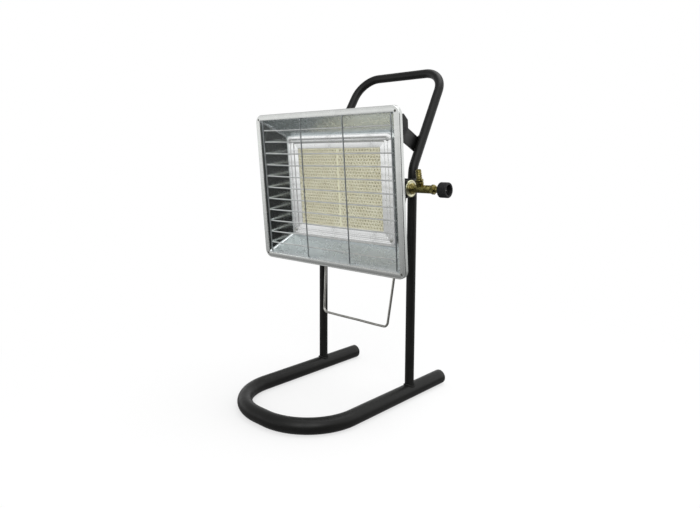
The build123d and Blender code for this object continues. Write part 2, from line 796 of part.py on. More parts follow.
# Hose tail: a hexagon and a row of barbs that a gas hose is pushed over.
tail_foot = inlet_boss_height + tail_hex_length
barb_pitch = (tail_length - tail_hex_length) / (barb_count + 0.5)
barb_start = inlet_boss_height + tail_length - barb_count * barb_pitch
tail_plane = Plane(origin=inlet.origin, x_dir=inlet.z_dir, z_dir=-inlet.y_dir)
tail_outline = [
    (tail_foot, inlet_port / 2),
    (tail_foot, tail_diameter / 2),
    (barb_start, tail_diameter / 2),
]
for barb in range(barb_count):
    tail_outline.append((barb_start + barb * barb_pitch, barb_diameter / 2))
    tail_outline.append((barb_start + (barb + 1) * barb_pitch, tail_diameter / 2))
tail_outline.append((inlet_boss_height + tail_length, inlet_port / 2))
with BuildPart() as inlet_hose_tail:
    turned(tail_plane, Axis(inlet.origin, inlet.z_dir), *tail_outline)
    hexagon(inlet.offset(inlet_boss_height), tail_hex, tail_hex_length)
    disc(inlet.offset(inlet_boss_height - tail_spigot_length), tail_spigot_diameter, tail_spigot_length)
    disc(inlet, inlet_port, tail_foot, mode=Mode.SUBTRACT)
write(inlet_hose_tail, "inlet_hose_tail")

# Gland nut: it closes the barrel round the spindle.
neck_x = valve_end + gland_hex_length
gland_end = neck_x + gland_neck_length
with BuildPart() as gland_nut:
    hexagon(across(valve_end, 0, gas_depth), gland_hex, gland_hex_length)
    disc(across(neck_x, 0, gas_depth), gland_neck_diameter, gland_neck_length)
    disc(
        across(valve_end, 0, gas_depth),
        spindle_diameter + 2 * spindle_clearance,
        gland_end - valve_end,
        mode=Mode.SUBTRACT,
    )
write(gland_nut, "gland_nut")

# ---------------------------------------------------------------- turning pieces of the valve
knob_x = gland_end + knob_gap
knob_end = knob_x + knob_length
recess_x = knob_end - knob_recess_depth
spindle_start = valve_end - spindle_inside + spindle_clearance
with BuildPart() as valve_spindle:
    disc(across(spindle_start, 0, gas_depth), spindle_diameter, recess_x - spindle_start)
    disc(
        across(recess_x - knob_screw_length, 0, gas_depth),
        knob_screw_diameter + 2 * thread_play,
        knob_screw_length,
        mode=Mode.SUBTRACT,
    )
write(valve_spindle, "valve_spindle")

knob_radius = knob_diameter / 2
with BuildPart() as valve_knob:
    turned(
        gas_plane,
        gas_axis,
        (knob_x, spindle_diameter / 2 + thread_play),
        (knob_x, knob_radius - knob_edge),
        (knob_x + knob_edge, knob_radius),
        (knob_end - knob_edge, knob_radius),
        (knob_end, knob_radius - knob_edge),
        (knob_end, knob_recess / 2),
        (recess_x, knob_recess / 2),
        (recess_x, spindle_diameter / 2 + thread_play),
    )
    with BuildSketch(across(knob_x, 0, gas_depth)):
        with PolarLocations(knob_radius + knob_flute_radius - knob_flute_depth, knob_flutes):
            Circle(knob_flute_radius)
    extrude(amount=knob_length, mode=Mode.SUBTRACT)
write(valve_knob, "valve_knob")

with BuildPart() as knob_screw:
    disc(across(recess_x, 0, gas_depth), knob_screw_head, knob_screw_head_height)
    head_face = knob_screw.faces().sort_by(Axis.X)[-1]
    chamfer(head_face.edges(), knob_screw_head_height / 2)
    disc(
        across(recess_x - knob_screw_length, 0, gas_depth),
        knob_screw_diameter,
        knob_screw_length,
    )
write(knob_screw, "knob_screw")

# ================================================================ tilt pivots
# Strap arms: flat bars let into the inner sides of the leaning uprights and welded there.
# Their round front ends carry the tilt pivots of the head.
weld = Vector(0, (strap_weld_height - bend_height) * tan(lean), strap_weld_height)
with BuildPart() as strap_arm:
    strap_corner = pivot + Vector(strap_inner, 0, 0)
    with BuildSketch(Plane(origin=strap_corner, x_dir=weld - pivot, z_dir=(1, 0, 0))):
        Circle(strap_width / 2)
        Rectangle((weld - pivot).length, strap_width, align=(Align.MIN, Align.CENTER))
        Circle(pivot_bolt_diameter / 2 + pivot_clearance, mode=Mode.SUBTRACT)
    extrude(amount=strap_thickness)
    upright_direction = Vector(handle_width / 2 - post_x, grip_y, grip_z - bend_height)
    disc(
        Plane(origin=(post_x, 0, bend_height), z_dir=upright_direction),
        post_diameter,
        handle_length,
        mode=Mode.SUBTRACT,
    )
write_pair(strap_arm, "strap_arm")

# Friction washers keep the head's angle. They sit between the straps and the head's brackets.
with BuildPart() as friction_washer:
    with BuildSketch(across(washer_start, pivot_rise, pivot_depth)):
        Circle(friction_washer_diameter / 2)
        Circle(pivot_bolt_diameter / 2 + pivot_clearance, mode=Mode.SUBTRACT)
    extrude(amount=friction_washer_thickness)
write_pair(friction_washer, "friction_washer")

# Tilt brackets: a foot on the back of the housing, bent round to an ear at the pivot.
ear_edge = pivot_depth + ear_back
ear_top = pivot_rise + ear_rise
with BuildPart() as tilt_bracket:
    with BuildSketch(across(ear_start)) as ear:
        with BuildLine():
            Polyline(
                (housing_rear, foot_low),
                (housing_rear + ear_web, foot_low),
                (housing_rear + ear_web, pivot_rise - ear_drop),
                (ear_edge, pivot_rise),
                (ear_edge, ear_top - ear_chamfer),
                (ear_edge - ear_chamfer, ear_top),
                (housing_rear, ear_top),
                close=True,
            )
        make_face()
        fillet(ear.vertices().group_by(Axis.Y)[1:], ear_corner)
        with Locations((pivot_depth, pivot_rise)):
            Circle(pivot_bolt_diameter / 2 + pivot_clearance, mode=Mode.SUBTRACT)
    extrude(amount=ear_thickness)
    with BuildSketch(level(foot_low)):
        with Locations((ear_end, housing_rear)):
            Rectangle(foot_width, ear_thickness, align=(Align.MAX, Align.MIN))
    extrude(amount=foot_high - foot_low)
    bracket_back = housing_rear + ear_thickness
    screw_holes(foot_screw_places, rear_screw_diameter, housing_rear, bracket_back)
write_pair(tilt_bracket, "tilt_bracket")

# Pivot bolts, with a plain washer and a locking nut on the inner side of each strap.
inner_washer = strap_inner - clamp_gap - pivot_washer_thickness
nut_start = inner_washer - pivot_nut_height
bolt_end = nut_start - pivot_thread_end
with BuildPart() as pivot_bolt:
    hexagon(across(ear_end, pivot_rise, pivot_depth), pivot_hex, pivot_head_height)
    disc(across(bolt_end, pivot_rise, pivot_depth), pivot_bolt_diameter, ear_end - bolt_end)
write_pair(pivot_bolt, "pivot_bolt")

with BuildPart() as pivot_washer:
    with BuildSketch(across(inner_washer, pivot_rise, pivot_depth)):
        Circle(pivot_washer_diameter / 2)
        Circle(pivot_bolt_diameter / 2 + pivot_clearance, mode=Mode.SUBTRACT)
    extrude(amount=pivot_washer_thickness)
write_pair(pivot_washer, "pivot_washer")

with BuildPart() as pivot_nut:
    hexagon(across(nut_start, pivot_rise, pivot_depth), pivot_hex, pivot_nut_height)
    disc(
        across(nut_start, pivot_rise, pivot_depth),
        pivot_bolt_diameter + 2 * pivot_clearance,
        pivot_nut_height,
        mode=Mode.SUBTRACT,
    )
write_pair(pivot_nut, "pivot_nut")

# Screws at the back of the housing hold the brackets' feet and the valve's carrier.
with BuildPart() as rear_screws:
    for places, back in ((foot_screw_places, bracket_back), (carrier_screw_places, carrier_back)):
        for x, rise in places:
            head_back = back + rear_screw_head_height
            disc(facing(head_back, x, rise), rear_screw_head, rear_screw_head_height)
            disc(facing(back, x, rise), rear_screw_diameter, rear_screw_length)
write(rear_screws, "rear_screws")

# ================================================================ wire bail
# A bent wire loop that hangs from pins in the facing sides of the posts.
pin_reach = post_x - post_radius + bail_pin_reach
bail_y = -bail_length * sin(radians(bail_lean))
bail_z = bail_height - bail_length * cos(radians(bail_lean))
with BuildPart() as wire_bail:
    with BuildLine() as bail_path:
        FilletPolyline(
            (-pin_reach, 0, bail_height),
            (-bail_top / 2, 0, bail_height),
            (-bail_bottom / 2, bail_y, bail_z),
            (bail_bottom / 2, bail_y, bail_z),
            (bail_top / 2, 0, bail_height),
            (pin_reach, 0, bail_height),
            radius=(bail_pin_bend, bail_corner, bail_corner, bail_pin_bend),
        )
    tube(bail_path.line, bail_wire)
write(wire_bail, "wire_bail")
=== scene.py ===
from math import ceil, cos, degrees, hypot, pi, radians, sin, sqrt, tan

import bmesh
import bpy
from mathutils import Matrix, Quaternion, Vector, noise
from mathutils.geometry import tessellate_polygon


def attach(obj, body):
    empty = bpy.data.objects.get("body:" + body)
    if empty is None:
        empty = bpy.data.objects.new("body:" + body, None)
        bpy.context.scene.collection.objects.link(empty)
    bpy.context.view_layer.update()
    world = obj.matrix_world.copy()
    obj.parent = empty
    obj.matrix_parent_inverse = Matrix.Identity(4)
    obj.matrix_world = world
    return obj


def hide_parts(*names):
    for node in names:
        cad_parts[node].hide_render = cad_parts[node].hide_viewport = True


# Portable propane heater, dressed. Sizes and places are in millimetres, in the frame of the
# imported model; pieces turn them into metres. Pieces of the head are built in the head's own
# frame: x to the right, y back from the rim's face, z up along it.
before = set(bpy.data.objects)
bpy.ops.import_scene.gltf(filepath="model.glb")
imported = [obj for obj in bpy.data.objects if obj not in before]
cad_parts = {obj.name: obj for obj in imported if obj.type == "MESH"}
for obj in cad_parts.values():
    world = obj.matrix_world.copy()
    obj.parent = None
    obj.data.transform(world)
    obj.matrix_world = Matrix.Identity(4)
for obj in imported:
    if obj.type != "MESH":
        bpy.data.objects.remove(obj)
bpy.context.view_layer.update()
MM = 0.001

# ---------------------------------------------------------------- sizes: stand
POST_X = 100.0                # of the posts' axes
POST_RADIUS = 7.5
BEND_HEIGHT = 380.0
BEND_RADIUS = 46.0
HANDLE_LEAN = radians(31.0)
HANDLE_LENGTH = 191.5
HANDLE_X = 92.0
HANDLE_CORNER = 41.0
BASE_RADIUS = 12.0
BASE_FRONT = 233.0
BASE_REAR = 89.0
BASE_CORNER = 90.0
CAP_DOME = 8.0
WELD_RIPPLE = 1.3             # between the ripples of a weld bead
POST_BEAD = 1.35              # radius of the weld bead round a post
POST_BEAD_OUT = 0.7           # of its middle, from the post's wall
POST_BEAD_LIFT = 0.5          # and above the base tube
STRAP_BEAD = 0.5              # radius of the weld beads along a strap
BEAD_MIDDLE = 5.5             # of those beads, from the strap's end
BEAD_REACH = 4.5              # half their length
TUBE_START = 1.4 * BASE_RADIUS  # height where the posts' tube starts, inside its weld
GRIP_Y = HANDLE_LENGTH * sin(HANDLE_LEAN)
GRIP_Z = BEND_HEIGHT + HANDLE_LENGTH * cos(HANDLE_LEAN)

# ---------------------------------------------------------------- sizes: head
HEAD_Y = -102.0               # middle of the rim's face
HEAD_Z = 345.0
TILT = radians(5.0)
SHEET = 1.0
RIM = (157.0, 126.0)          # half width and half height
RIM_FACE = (10.5, 9.5)        # width of its face at the sides, and at top and bottom
RIM_LIP = 7.0
RIM_CORNER = 14.0
RIM_FOLD = 2.0
RELIEF = 1.7                  # radius of the holes in the corners of the face
RELIEF_PLACE = (149.5, 118.0)
OPENING = (RIM[0] - RIM_FACE[0], RIM[1] - RIM_FACE[1])
HEM = 1.3                     # of the reflector's front flange inside the rim's edge
THROAT = (119.0, 88.0)        # half size of the funnel's rear
FUNNEL_BACK = 36.0
SEAT = (99.0, 70.0)           # half size of the hole in the funnel's rear flange
FOLD = 1.6                    # inner radius of the reflector's folds
SEAM = 2.0                    # half width of a corner seam
SEAM_HEIGHT = 0.7
SEAM_LIFT = 1.4               # of its sides above the mitre, which the folds round off

GUARD_X = 140.0
GUARD_Z = 114.8               # the bent ends show right beside the rim, past those of the solid
GUARD_UPRIGHTS = 4
GUARD_BARS = 11
GUARD_PITCH = 19.6
GUARD_RADIUS = 1.1
GUARD_DEPTH = 2.0
GUARD_END = 9.0
GUARD_BEND = 1.8
BAR_DEPTH = GUARD_DEPTH + 1.8
BAR_OVERHANG = 1.0

BURNER = (115.5, 86.5)        # half size of the burner frame
BURNER_CORNER = 8.0
BURNER_FRONT = 32.5           # depths of its ridge, terrace and land
TERRACE_FRONT = 33.8
LAND_FRONT = 35.0
WINDOW = (91.0, 65.0)
SCREW_PLACES = [(x, z) for x in (-107.2, 107.2) for z in (-77.5, 77.5)]
SCREW_FLAT = 3.6              # radius of the flats under the screws
PLAQUE_X = (1.25, 92.0)       # inner and outer edge of the right-hand plaque
PLAQUE_Z = 66.0
PLAQUE_BACK = 49.0
CELL = 5.9                    # between the recesses of the ceramic
CELL_MARGIN = 2.2
RECESS = ((0.68, 0.0), (0.62, 0.15), (0.55, 1.6), (0.40, 2.6))  # share of a cell, and depth
GASKET = (104.5, 75.5)        # half size of the part of the gasket in front of the housing
GASKET_STEP = (94.8, 68.8)    # and of the part inside it
GASKET_INSIDE = 8.0

HOUSING = (96.2, 70.2)
HOUSING_FLANGE = (114.0, 85.0)
HOUSING_FRONT = 39.0
HOUSING_BACK = 78.0
HOUSING_WALL = 1.2
HOUSING_CORNER = 6.0
HOUSING_EDGE = 3.0

# ---------------------------------------------------------------- sizes: gas side
GAS_DEPTH = 64.0
CARRIER_X = 122.0
CARRIER = 2.5
CARRIER_FOOT = 58.0
CARRIER_HALF = 13.5
CARRIER_REACH = 11.0
WASHER_X = 126.5
VALVE_END = 163.0
INLET_X = 143.0
INLET_TURN = radians(8.0)
INLET_HEX = 11.0              # hexagons are measured across their flats
INJECTOR_HEX = 12.0
GLAND_HEX = 13.0
GLAND_NECK_X = 169.0
GLAND_END = 176.0
KNOB_X = 178.5
KNOB_END = 193.0
KNOB_RADIUS = 11.5
KNOB_FLUTES = 36
KNOB_RECESS = 7.75
KNOB_RECESS_DEPTH = 7.0

# ---------------------------------------------------------------- sizes: tilt pivots and bail
PIVOT = (86.0, 89.0)          # depth and rise of the tilt pivots
STRAP_X = (89.65, 92.65)
STRAP_HALF = 12.5
STRAP_WELD_Z = 418.0
BOLT_RADIUS = 3.0
BOLT_HOLE = 3.05              # in everything that a pivot bolt passes
PIVOT_PLAY = 0.1              # between a strap and the washers beside it
PIVOT_WASHER = 1.2
PIVOT_NUT = 6.0
PIVOT_HEX = 10.0
NUT_X = STRAP_X[0] - PIVOT_PLAY - PIVOT_WASHER - PIVOT_NUT
EAR_X = (93.95, 96.45)
BRACKET = EAR_X[1] - EAR_X[0]  # thickness of a tilt bracket
FOOT_WIDTH = 22.0
FOOT_Z = (30.0, 64.0)
BAIL_RADIUS = 2.0
BAIL_Z = 345.0
BAIL_LENGTH = 226.5
BAIL_LEAN = radians(6.6)
BAIL_TOP = 88.0
BAIL_BOTTOM = 72.6
BAIL_PIN = 98.0
BAIL_BENDS = (4.0, 8.0)

# Smallest turn between two faces, in degrees, that shows as an edge.
CRISP = 28.0                  # valve body, hose tail, nuts and bolts
PLAIN = 32.0
FIRM = 40.0                   # pressed, moulded and fired parts
SOFT = 50.0                   # reflector panels, mixing tube and large washer
ROUND = 60.0                  # wires and cement

SIDES = ((-1, "left"), (1, "right"))
HEAD = Matrix.Translation(Vector((0, HEAD_Y, HEAD_Z)) * MM) @ Matrix.Rotation(TILT, 4, "X")
GAS_AXIS = Matrix.Translation(Vector((0, GAS_DEPTH, 0)))


# ================================================================ forms
class Form:
    """Points, in millimetres, and faces of a piece that is being built."""

    def __init__(self):
        self.points = []
        self.faces = []

    def row(self, points):
        start = len(self.points)
        self.points.extend(Vector(point) for point in points)
        return list(range(start, len(self.points)))

    def bridge(self, one, two, closed=True):
        """Join two rows of as many points with four-sided faces."""
        count = len(one)
        for i in range(count if closed else count - 1):
            j = (i + 1) % count
            self.faces.append((one[i], one[j], two[j], two[i]))

    def skin(self, rows, closed=True, loop=False):
        """Join rows of points one after the other, and in a loop the last to the first."""
        rows = [self.row(points) for points in rows]
        for one, two in zip(rows, rows[1:]):
            self.bridge(one, two, closed)
        if loop:
            self.bridge(rows[-1], rows[0], closed)
        return rows

    def lid(self, row):
        """Close a row with a fan round its middle."""
        middle = sum((self.points[i] for i in row), Vector()) / len(row)
        centre = self.row([middle])[0]
        for i, j in zip(row, row[1:] + row[:1]):
            self.faces.append((i, j, centre))

    def solid(self, rows):
        """Join rows of points and close both ends."""
        rows = self.skin(rows)
        self.lid(rows[0])
        self.lid(rows[-1])

    def join(self, other, place):
        """Take in another form, moved by a matrix in millimetres."""
        start = len(self.points)
        self.points.extend(place @ point for point in other.points)
        self.faces.extend(tuple(start + i for i in face) for face in other.faces)
        return self

    def mesh(self, name):
        """Mesh of the form, still in millimetres."""
        mesh = bpy.data.meshes.new(name)
        mesh.from_pydata(self.points, [], self.faces)
        tidy(mesh)
        return mesh


def round_steps(count):
    """Angles of a full turn in equal steps."""
    return [2 * pi * k / count for k in range(count)]


def rounded(corners, radii, closed=False, turn=6.0):
    """Path through corners that are rounded by arcs, with a point every few degrees of turn."""
    corners = [Vector(corner) for corner in corners]
    if isinstance(radii, (int, float)):
        radii = [radii] * len(corners)
    path = []
    for i, (corner, radius) in enumerate(zip(corners, radii)):
        if radius == 0 or (not closed and i in (0, len(corners) - 1)):
            path.append(corner)
            continue
        before = (corners[i - 1] - corner).normalized()
        after = (corners[(i + 1) % len(corners)] - corner).normalized()
        angle = pi - before.angle(after)
        reach = radius * tan(angle / 2)
        centre = corner + (before + after).normalized() * hypot(radius, reach)
        start = corner + before * reach - centre
        axis = start.cross(corner + after * reach - centre).normalized()
        steps = max(2, ceil(degrees(angle) / turn))
        path.extend(centre + Quaternion(axis, angle * k / steps) @ start for k in range(steps + 1))
    return path


def divided(path, longest):
    """The same path with its long runs divided."""
    points = []
    for one, two in zip(path, path[1:]):
        steps = max(1, ceil((two - one).length / longest))
        points.extend(one.lerp(two, k / steps) for k in range(steps))
    return points + [path[-1]]


def sweep(form, path, radius, sides=24, closed=False):
    """Round bar along a path. The radius is a number, or a function of the place on the path."""
    count = len(path)

    def heading(i):
        if closed:
            return (path[(i + 1) % count] - path[i - 1]).normalized()
        return (path[min(i + 1, count - 1)] - path[max(i - 1, 0)]).normalized()

    before = heading(0)
    side = before.orthogonal().normalized()
    rows = []
    for i, point in enumerate(path):
        ahead = heading(i)
        side.rotate(before.rotation_difference(ahead))
        before = ahead
        up = ahead.cross(side)
        reach = radius(i) if callable(radius) else radius
        rows.append([point + (side * cos(a) + up * sin(a)) * reach for a in round_steps(sides)])
    if closed:
        form.skin(rows, loop=True)
    else:
        form.solid(rows)


def lathe(form, place, profile, sides=48, shape=None, hollow=False):
    """Turn (distance, radius) pairs about the X axis of a place. shape(angle, radius) gives the
    radius of what isn't round. A hollow profile closes on itself."""
    rows = []
    for distance, radius in profile:
        row = []
        for angle in round_steps(sides):
            reach = shape(angle, radius) if shape else radius
            row.append(place @ Vector((distance, reach * cos(angle), reach * sin(angle))))
        rows.append(row)
    rows = form.skin(rows, loop=hollow)
    for end in () if hollow else (0, -1):
        if profile[end][1] > 0:
            form.lid(rows[end])
    return form


def shifted(start, profile):
    """The same profile, with its distances counted from a start."""
    return [(start + distance, radius) for distance, radius in profile]


def inset(loop, amount):
    """A closed flat outline moved to its left-hand side."""
    moved = []
    for i, point in enumerate(loop):
        before = (point - loop[i - 1]).normalized()
        after = (loop[(i + 1) % len(loop)] - point).normalized()
        one = Vector((-before.y, before.x, 0))
        two = Vector((-after.y, after.x, 0))
        moved.append(point + (one + two) * (amount / (1 + one.dot(two))))
    return moved


def plate(outline, holes, thickness, bevel=0.4):
    """Flat plate in the XY plane, from z = 0 up, with rounded edges. The outline runs
    anticlockwise and the holes clockwise."""
    form = Form()
    levels = []
    for angle in (0, 30, 60, 90):
        levels.append((bevel * (1 - sin(radians(angle))), bevel * (1 - cos(radians(angle)))))
    levels += [(amount, thickness - height) for amount, height in reversed(levels)]
    lids = []
    for loop in [outline] + holes:
        rows = [[p + Vector((0, 0, height)) for p in inset(loop, amount)] for amount, height in levels]
        rows = form.skin(rows)
        lids.append((rows[0], rows[-1]))
    for end in (0, 1):
        rings = [lid[end] for lid in lids]
        order = [i for ring in rings for i in ring]
        flat = [[Vector((form.points[i].x, form.points[i].y, 0)) for i in ring] for ring in rings]
        form.faces.extend(tuple(order[i] for i in face) for face in tessellate_polygon(flat))
    return form


def circle(x, y, radius, sides=40):
    """Outline of a round hole in a plate."""
    return [Vector((x + radius * cos(-a), y + radius * sin(-a), 0)) for a in round_steps(sides)]


def rectangle(half, corner, depth, corner_steps=7, side_steps=10):
    """Closed row of the head at one depth: a rectangle with round corners."""
    arcs = []
    for quarter, (sx, sz) in enumerate(((1, 1), (-1, 1), (-1, -1), (1, -1))):
        x, z = sx * (half[0] - corner), sz * (half[1] - corner)
        angles = [(quarter + k / corner_steps) * pi / 2 for k in range(corner_steps + 1)]
        arcs.append([Vector((x + corner * cos(a), depth, z + corner * sin(a))) for a in angles])
    row = []
    for arc, following in zip(arcs, arcs[1:] + arcs[:1]):
        row.extend(arc)
        row.extend(arc[-1].lerp(following[0], k / side_steps) for k in range(1, side_steps))
    return row


def hexagon(across_flats, above=0.0):
    """Shape for a lathe: a hexagon wherever the radius is above a limit. Its corners are turned
    off where the radius is smaller than theirs."""

    def shape(angle, radius):
        within = (angle + pi / 6) % (pi / 3) - pi / 6
        return min(across_flats / 2 / cos(within), radius) if radius > above else radius

    return shape


def along(origin, axis, roll=0.0):
    """Place whose X axis runs along a direction, in millimetres."""
    axis = Vector(axis).normalized()
    turn = Vector((1, 0, 0)).rotation_difference(axis).to_matrix().to_4x4()
    return Matrix.Translation(Vector(origin)) @ turn @ Matrix.Rotation(roll, 4, "X")


def facing_x(x):
    """Place for a plate of the head that stands square to X: its outline's x runs back from
    the face and its y rises."""
    columns = Matrix(((0, 0, 1), (1, 0, 0), (0, 1, 0))).to_4x4()
    return Matrix.Translation(Vector((x, 0, 0))) @ columns


def add_object(name, data):
    """Put an object with this data into the scene."""
    thing = bpy.data.objects.new(name, data)
    bpy.context.scene.collection.objects.link(thing)
    return thing


def combined(first, second, operation="UNION"):
    """One form from two closed ones that overlap."""
    objects = [add_object("first", first.mesh("first")), add_object("second", second.mesh("second"))]
    change = objects[0].modifiers.new("combined", "BOOLEAN")
    change.operation = operation
    change.solver = "EXACT"
    change.object = objects[1]
    graph = bpy.context.evaluated_depsgraph_get()
    result = bpy.data.meshes.new_from_object(objects[0].evaluated_get(graph))
    form = Form()
    form.row(vertex.co for vertex in result.vertices)
    form.faces = [tuple(polygon.vertices) for polygon in result.polygons]
    for thing in objects:
        bpy.data.objects.remove(thing)
    return form


def facing_back(x, z):
    """Place of the head whose X axis runs back from its face."""
    return Matrix.Translation(Vector((x, 0, z))) @ Matrix.Rotation(pi / 2, 4, "Z")


def drilled(form, places, profile):
    """A form of the head with round recesses cut from its front. The profile holds depths from
    the rim's face and the radii there, from the back to the front."""
    cutter = Form()
    for x, z in places:
        lathe(cutter, facing_back(x, z), profile, 40)
    return combined(form, cutter, "DIFFERENCE")


def tidy(mesh):
    """Merge points that fall together and turn every face outwards."""
    shape = bmesh.new()
    shape.from_mesh(mesh)
    bmesh.ops.remove_doubles(shape, verts=shape.verts, dist=0.01)
    bmesh.ops.dissolve_degenerate(shape, edges=shape.edges, dist=0.0005)
    bmesh.ops.recalc_face_normals(shape, faces=shape.faces)
    shape.to_mesh(mesh)
    shape.free()


def piece(name, form, finish, body, nodes, place=None, sharp=PLAIN):
    """Make a form into a piece that rides on a body and stands for its CAD nodes."""
    mesh = form.mesh(name)
    mesh.transform(Matrix.Scale(MM, 4))
    if place:
        mesh.transform(place)
    mesh.materials.append(finish)
    mesh.shade_smooth()
    mesh.set_sharp_from_angle(angle=radians(sharp))
    thing = add_object(name, mesh)
    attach(thing, body)
    if nodes:
        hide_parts(*nodes)


def head_piece(node, form, finish, sharp=PLAIN, body="head"):
    """A piece that is built in the head's frame and named after the CAD node it stands for."""
    piece(f"{node}_skin", form, finish, body, [node], HEAD, sharp)


def waver(point, size, seed=0.0):
    """Smooth unevenness between -1 and 1, for places in millimetres and waves of that size."""
    return noise.noise(Vector(point) / size + Vector((seed, -seed, 3.7 * seed)))


# ================================================================ finishes
def put(tree, node, socket, value):
    """Give a socket a plain value, or link what another node puts out."""
    if isinstance(value, bpy.types.NodeSocket):
        tree.links.new(value, node.inputs[socket])
    else:
        node.inputs[socket].default_value = value


def add_node(tree, kind, inputs, output=0, **settings):
    """Add a shader node, and give one of its outputs, or all of them where output is None."""
    node = tree.nodes.new(f"ShaderNode{kind}")
    for setting, value in settings.items():
        setattr(node, setting, value)
    for socket, value in inputs.items():
        put(tree, node, socket, value)
    return node.outputs if output is None else node.outputs[output]


def map_range(tree, value, low, high, start, end, **settings):
    """Map a value from one range to another, without going past the ends."""
    inputs = {"Value": value, "From Min": low, "From Max": high, "To Min": start, "To Max": end}
    return add_node(tree, "MapRange", inputs, "Result", **settings)


class Finish:
    """A procedural material in the object's own space, in metres."""

    def __init__(self, name, colour, roughness, metallic=0.0, **sockets):
        self.material = bpy.data.materials.new(name)
        self.material.use_nodes = True
        self.tree = self.material.node_tree
        self.set("Base Color", (*colour, 1.0))
        self.set("Roughness", roughness)
        self.set("Metallic", metallic)
        for socket, value in sockets.items():
            self.set(socket.replace("_", " "), value)
        self.space = self.node("TexCoord", {}, "Object")
        self.normal = None

    def set(self, socket, value):
        put(self.tree, self.tree.nodes["Principled BSDF"], socket, value)

    def node(self, kind, inputs, output=0, **settings):
        return add_node(self.tree, kind, inputs, output, **settings)

    def stretched(self, scale):
        """The object's space, scaled along its axes."""
        return self.node("Mapping", {"Vector": self.space, "Scale": scale}, "Vector")

    def noise(self, size, detail=3.0, rough=0.5, space=None, warp=0.0):
        """Noise whose features are about that many millimetres."""
        inputs = {"Vector": space or self.space, "Scale": 1000.0 / size, "Detail": detail}
        return self.node("TexNoise", {**inputs, "Roughness": rough, "Distortion": warp}, "Fac")

    def cells(self, size):
        """Crystals of about that many millimetres, each with a colour of its own."""
        return self.node("TexVoronoi", {"Vector": self.space, "Scale": 1000.0 / size}, "Color")

    def range(self, value, low, high, start=0.0, end=1.0):
        return map_range(self.tree, value, low, high, start, end)

    def sum(self, one, two, operation="ADD"):
        return self.node("Math", {0: one, 1: two}, operation=operation, use_clamp=True)

    def mix(self, share, one, two):
        """Blend two colours."""
        one, two = (c if isinstance(c, bpy.types.NodeSocket) else (*c, 1.0) for c in (one, two))
        return self.node("Mix", {"Factor": share, 6: one, 7: two}, 2, data_type="RGBA")

    def bump(self, height, depth):
        """Add relief of that many millimetres to the surface."""
        inputs = {"Strength": 1.0, "Distance": depth * MM, "Height": height}
        if self.normal:
            inputs["Normal"] = self.normal
        self.normal = self.node("Bump", inputs, "Normal")
        self.set("Normal", self.normal)


def black_paint(name, gloss):
    """Satin powder coat: fine orange peel, faint dust and rubbed patches."""
    f = Finish(name, (0.004, 0.004, 0.004), 0.42, Specular_IOR_Level=gloss)
    cloud = f.noise(46, 4)
    dust = f.range(f.noise(1.1, 2, 0.7), 0.70, 0.82)
    shade = f.mix(f.range(cloud, 0.35, 0.7), (0.0030, 0.0031, 0.0029), (0.0062, 0.0062, 0.0054))
    f.set("Base Color", f.mix(f.sum(dust, 0.25, "MULTIPLY"), shade, (0.030, 0.029, 0.026)))
    rub = f.noise(9, 4, 0.62, f.stretched((1, 1, 0.35)))
    f.set("Roughness", f.range(rub, 0.3, 0.75, 0.36, 0.48))
    f.bump(f.noise(1.6, 2, 0.5), 0.014)
    f.bump(f.noise(0.35, 2, 0.6), 0.004)
    return f.material


def black_plastic():
    """Moulded plastic with a fine matt grain."""
    f = Finish("black_plastic", (0.006, 0.006, 0.006), 0.5, Specular_IOR_Level=0.32)
    f.set("Base Color", f.mix(f.noise(12, 3), (0.0045, 0.0045, 0.005), (0.009, 0.009, 0.0095)))
    f.set("Roughness", f.range(f.noise(5, 3), 0.3, 0.7, 0.44, 0.6))
    f.bump(f.noise(0.28, 2, 0.6), 0.010)
    return f.material


def galvanised(name, rolling, colour, low, high, spangle=11.0, contrast=0.5):
    """Zinc-coated sheet: large soft crystals, fine rolling marks along one direction, stains."""
    f = Finish(name, colour, 0.35, 1.0)
    crystals = f.node("SeparateColor", {"Color": f.cells(spangle)}, None)
    grain = f.noise(1.8, 3, 0.5, f.stretched(rolling))
    stain = f.noise(38, 4, 0.55, warp=0.4)
    tone = colour
    for value, start, end, strength, dark in (
        (crystals["Red"], 0, 1, 0.4, 0.84),
        (grain, 0.40, 0.72, 0.3, 0.70),
        (stain, 0.5, 0.78, 0.4, 0.78),
    ):
        share = f.range(value, start, end, 0.0, strength * contrast)
        tone = f.mix(share, tone, tuple(dark * c for c in colour))
    f.set("Base Color", tone)
    blotch = f.sum(f.range(crystals["Green"], 0, 1, 0.0, 0.5), f.range(grain, 0.3, 0.8, 0.0, 0.5))
    f.set("Roughness", f.range(blotch, 0.1, 0.9, low, high))
    f.bump(grain, 0.0007)
    return f.material


def plated(name, colour, roughness, tint, size=3.0):
    """Zinc plate on wire or hardware, with a cloudy tint and fine drawing marks."""
    f = Finish(name, colour, roughness, 1.0)
    cloud = f.noise(size * 3, 4, 0.6)
    f.set("Base Color", f.mix(f.range(cloud, 0.36, 0.66), colour, tint))
    f.set("Roughness", f.range(f.noise(size, 3), 0.3, 0.7, roughness * 0.8, roughness * 1.25))
    f.bump(f.noise(0.5, 3, 0.6), 0.006)
    return f.material


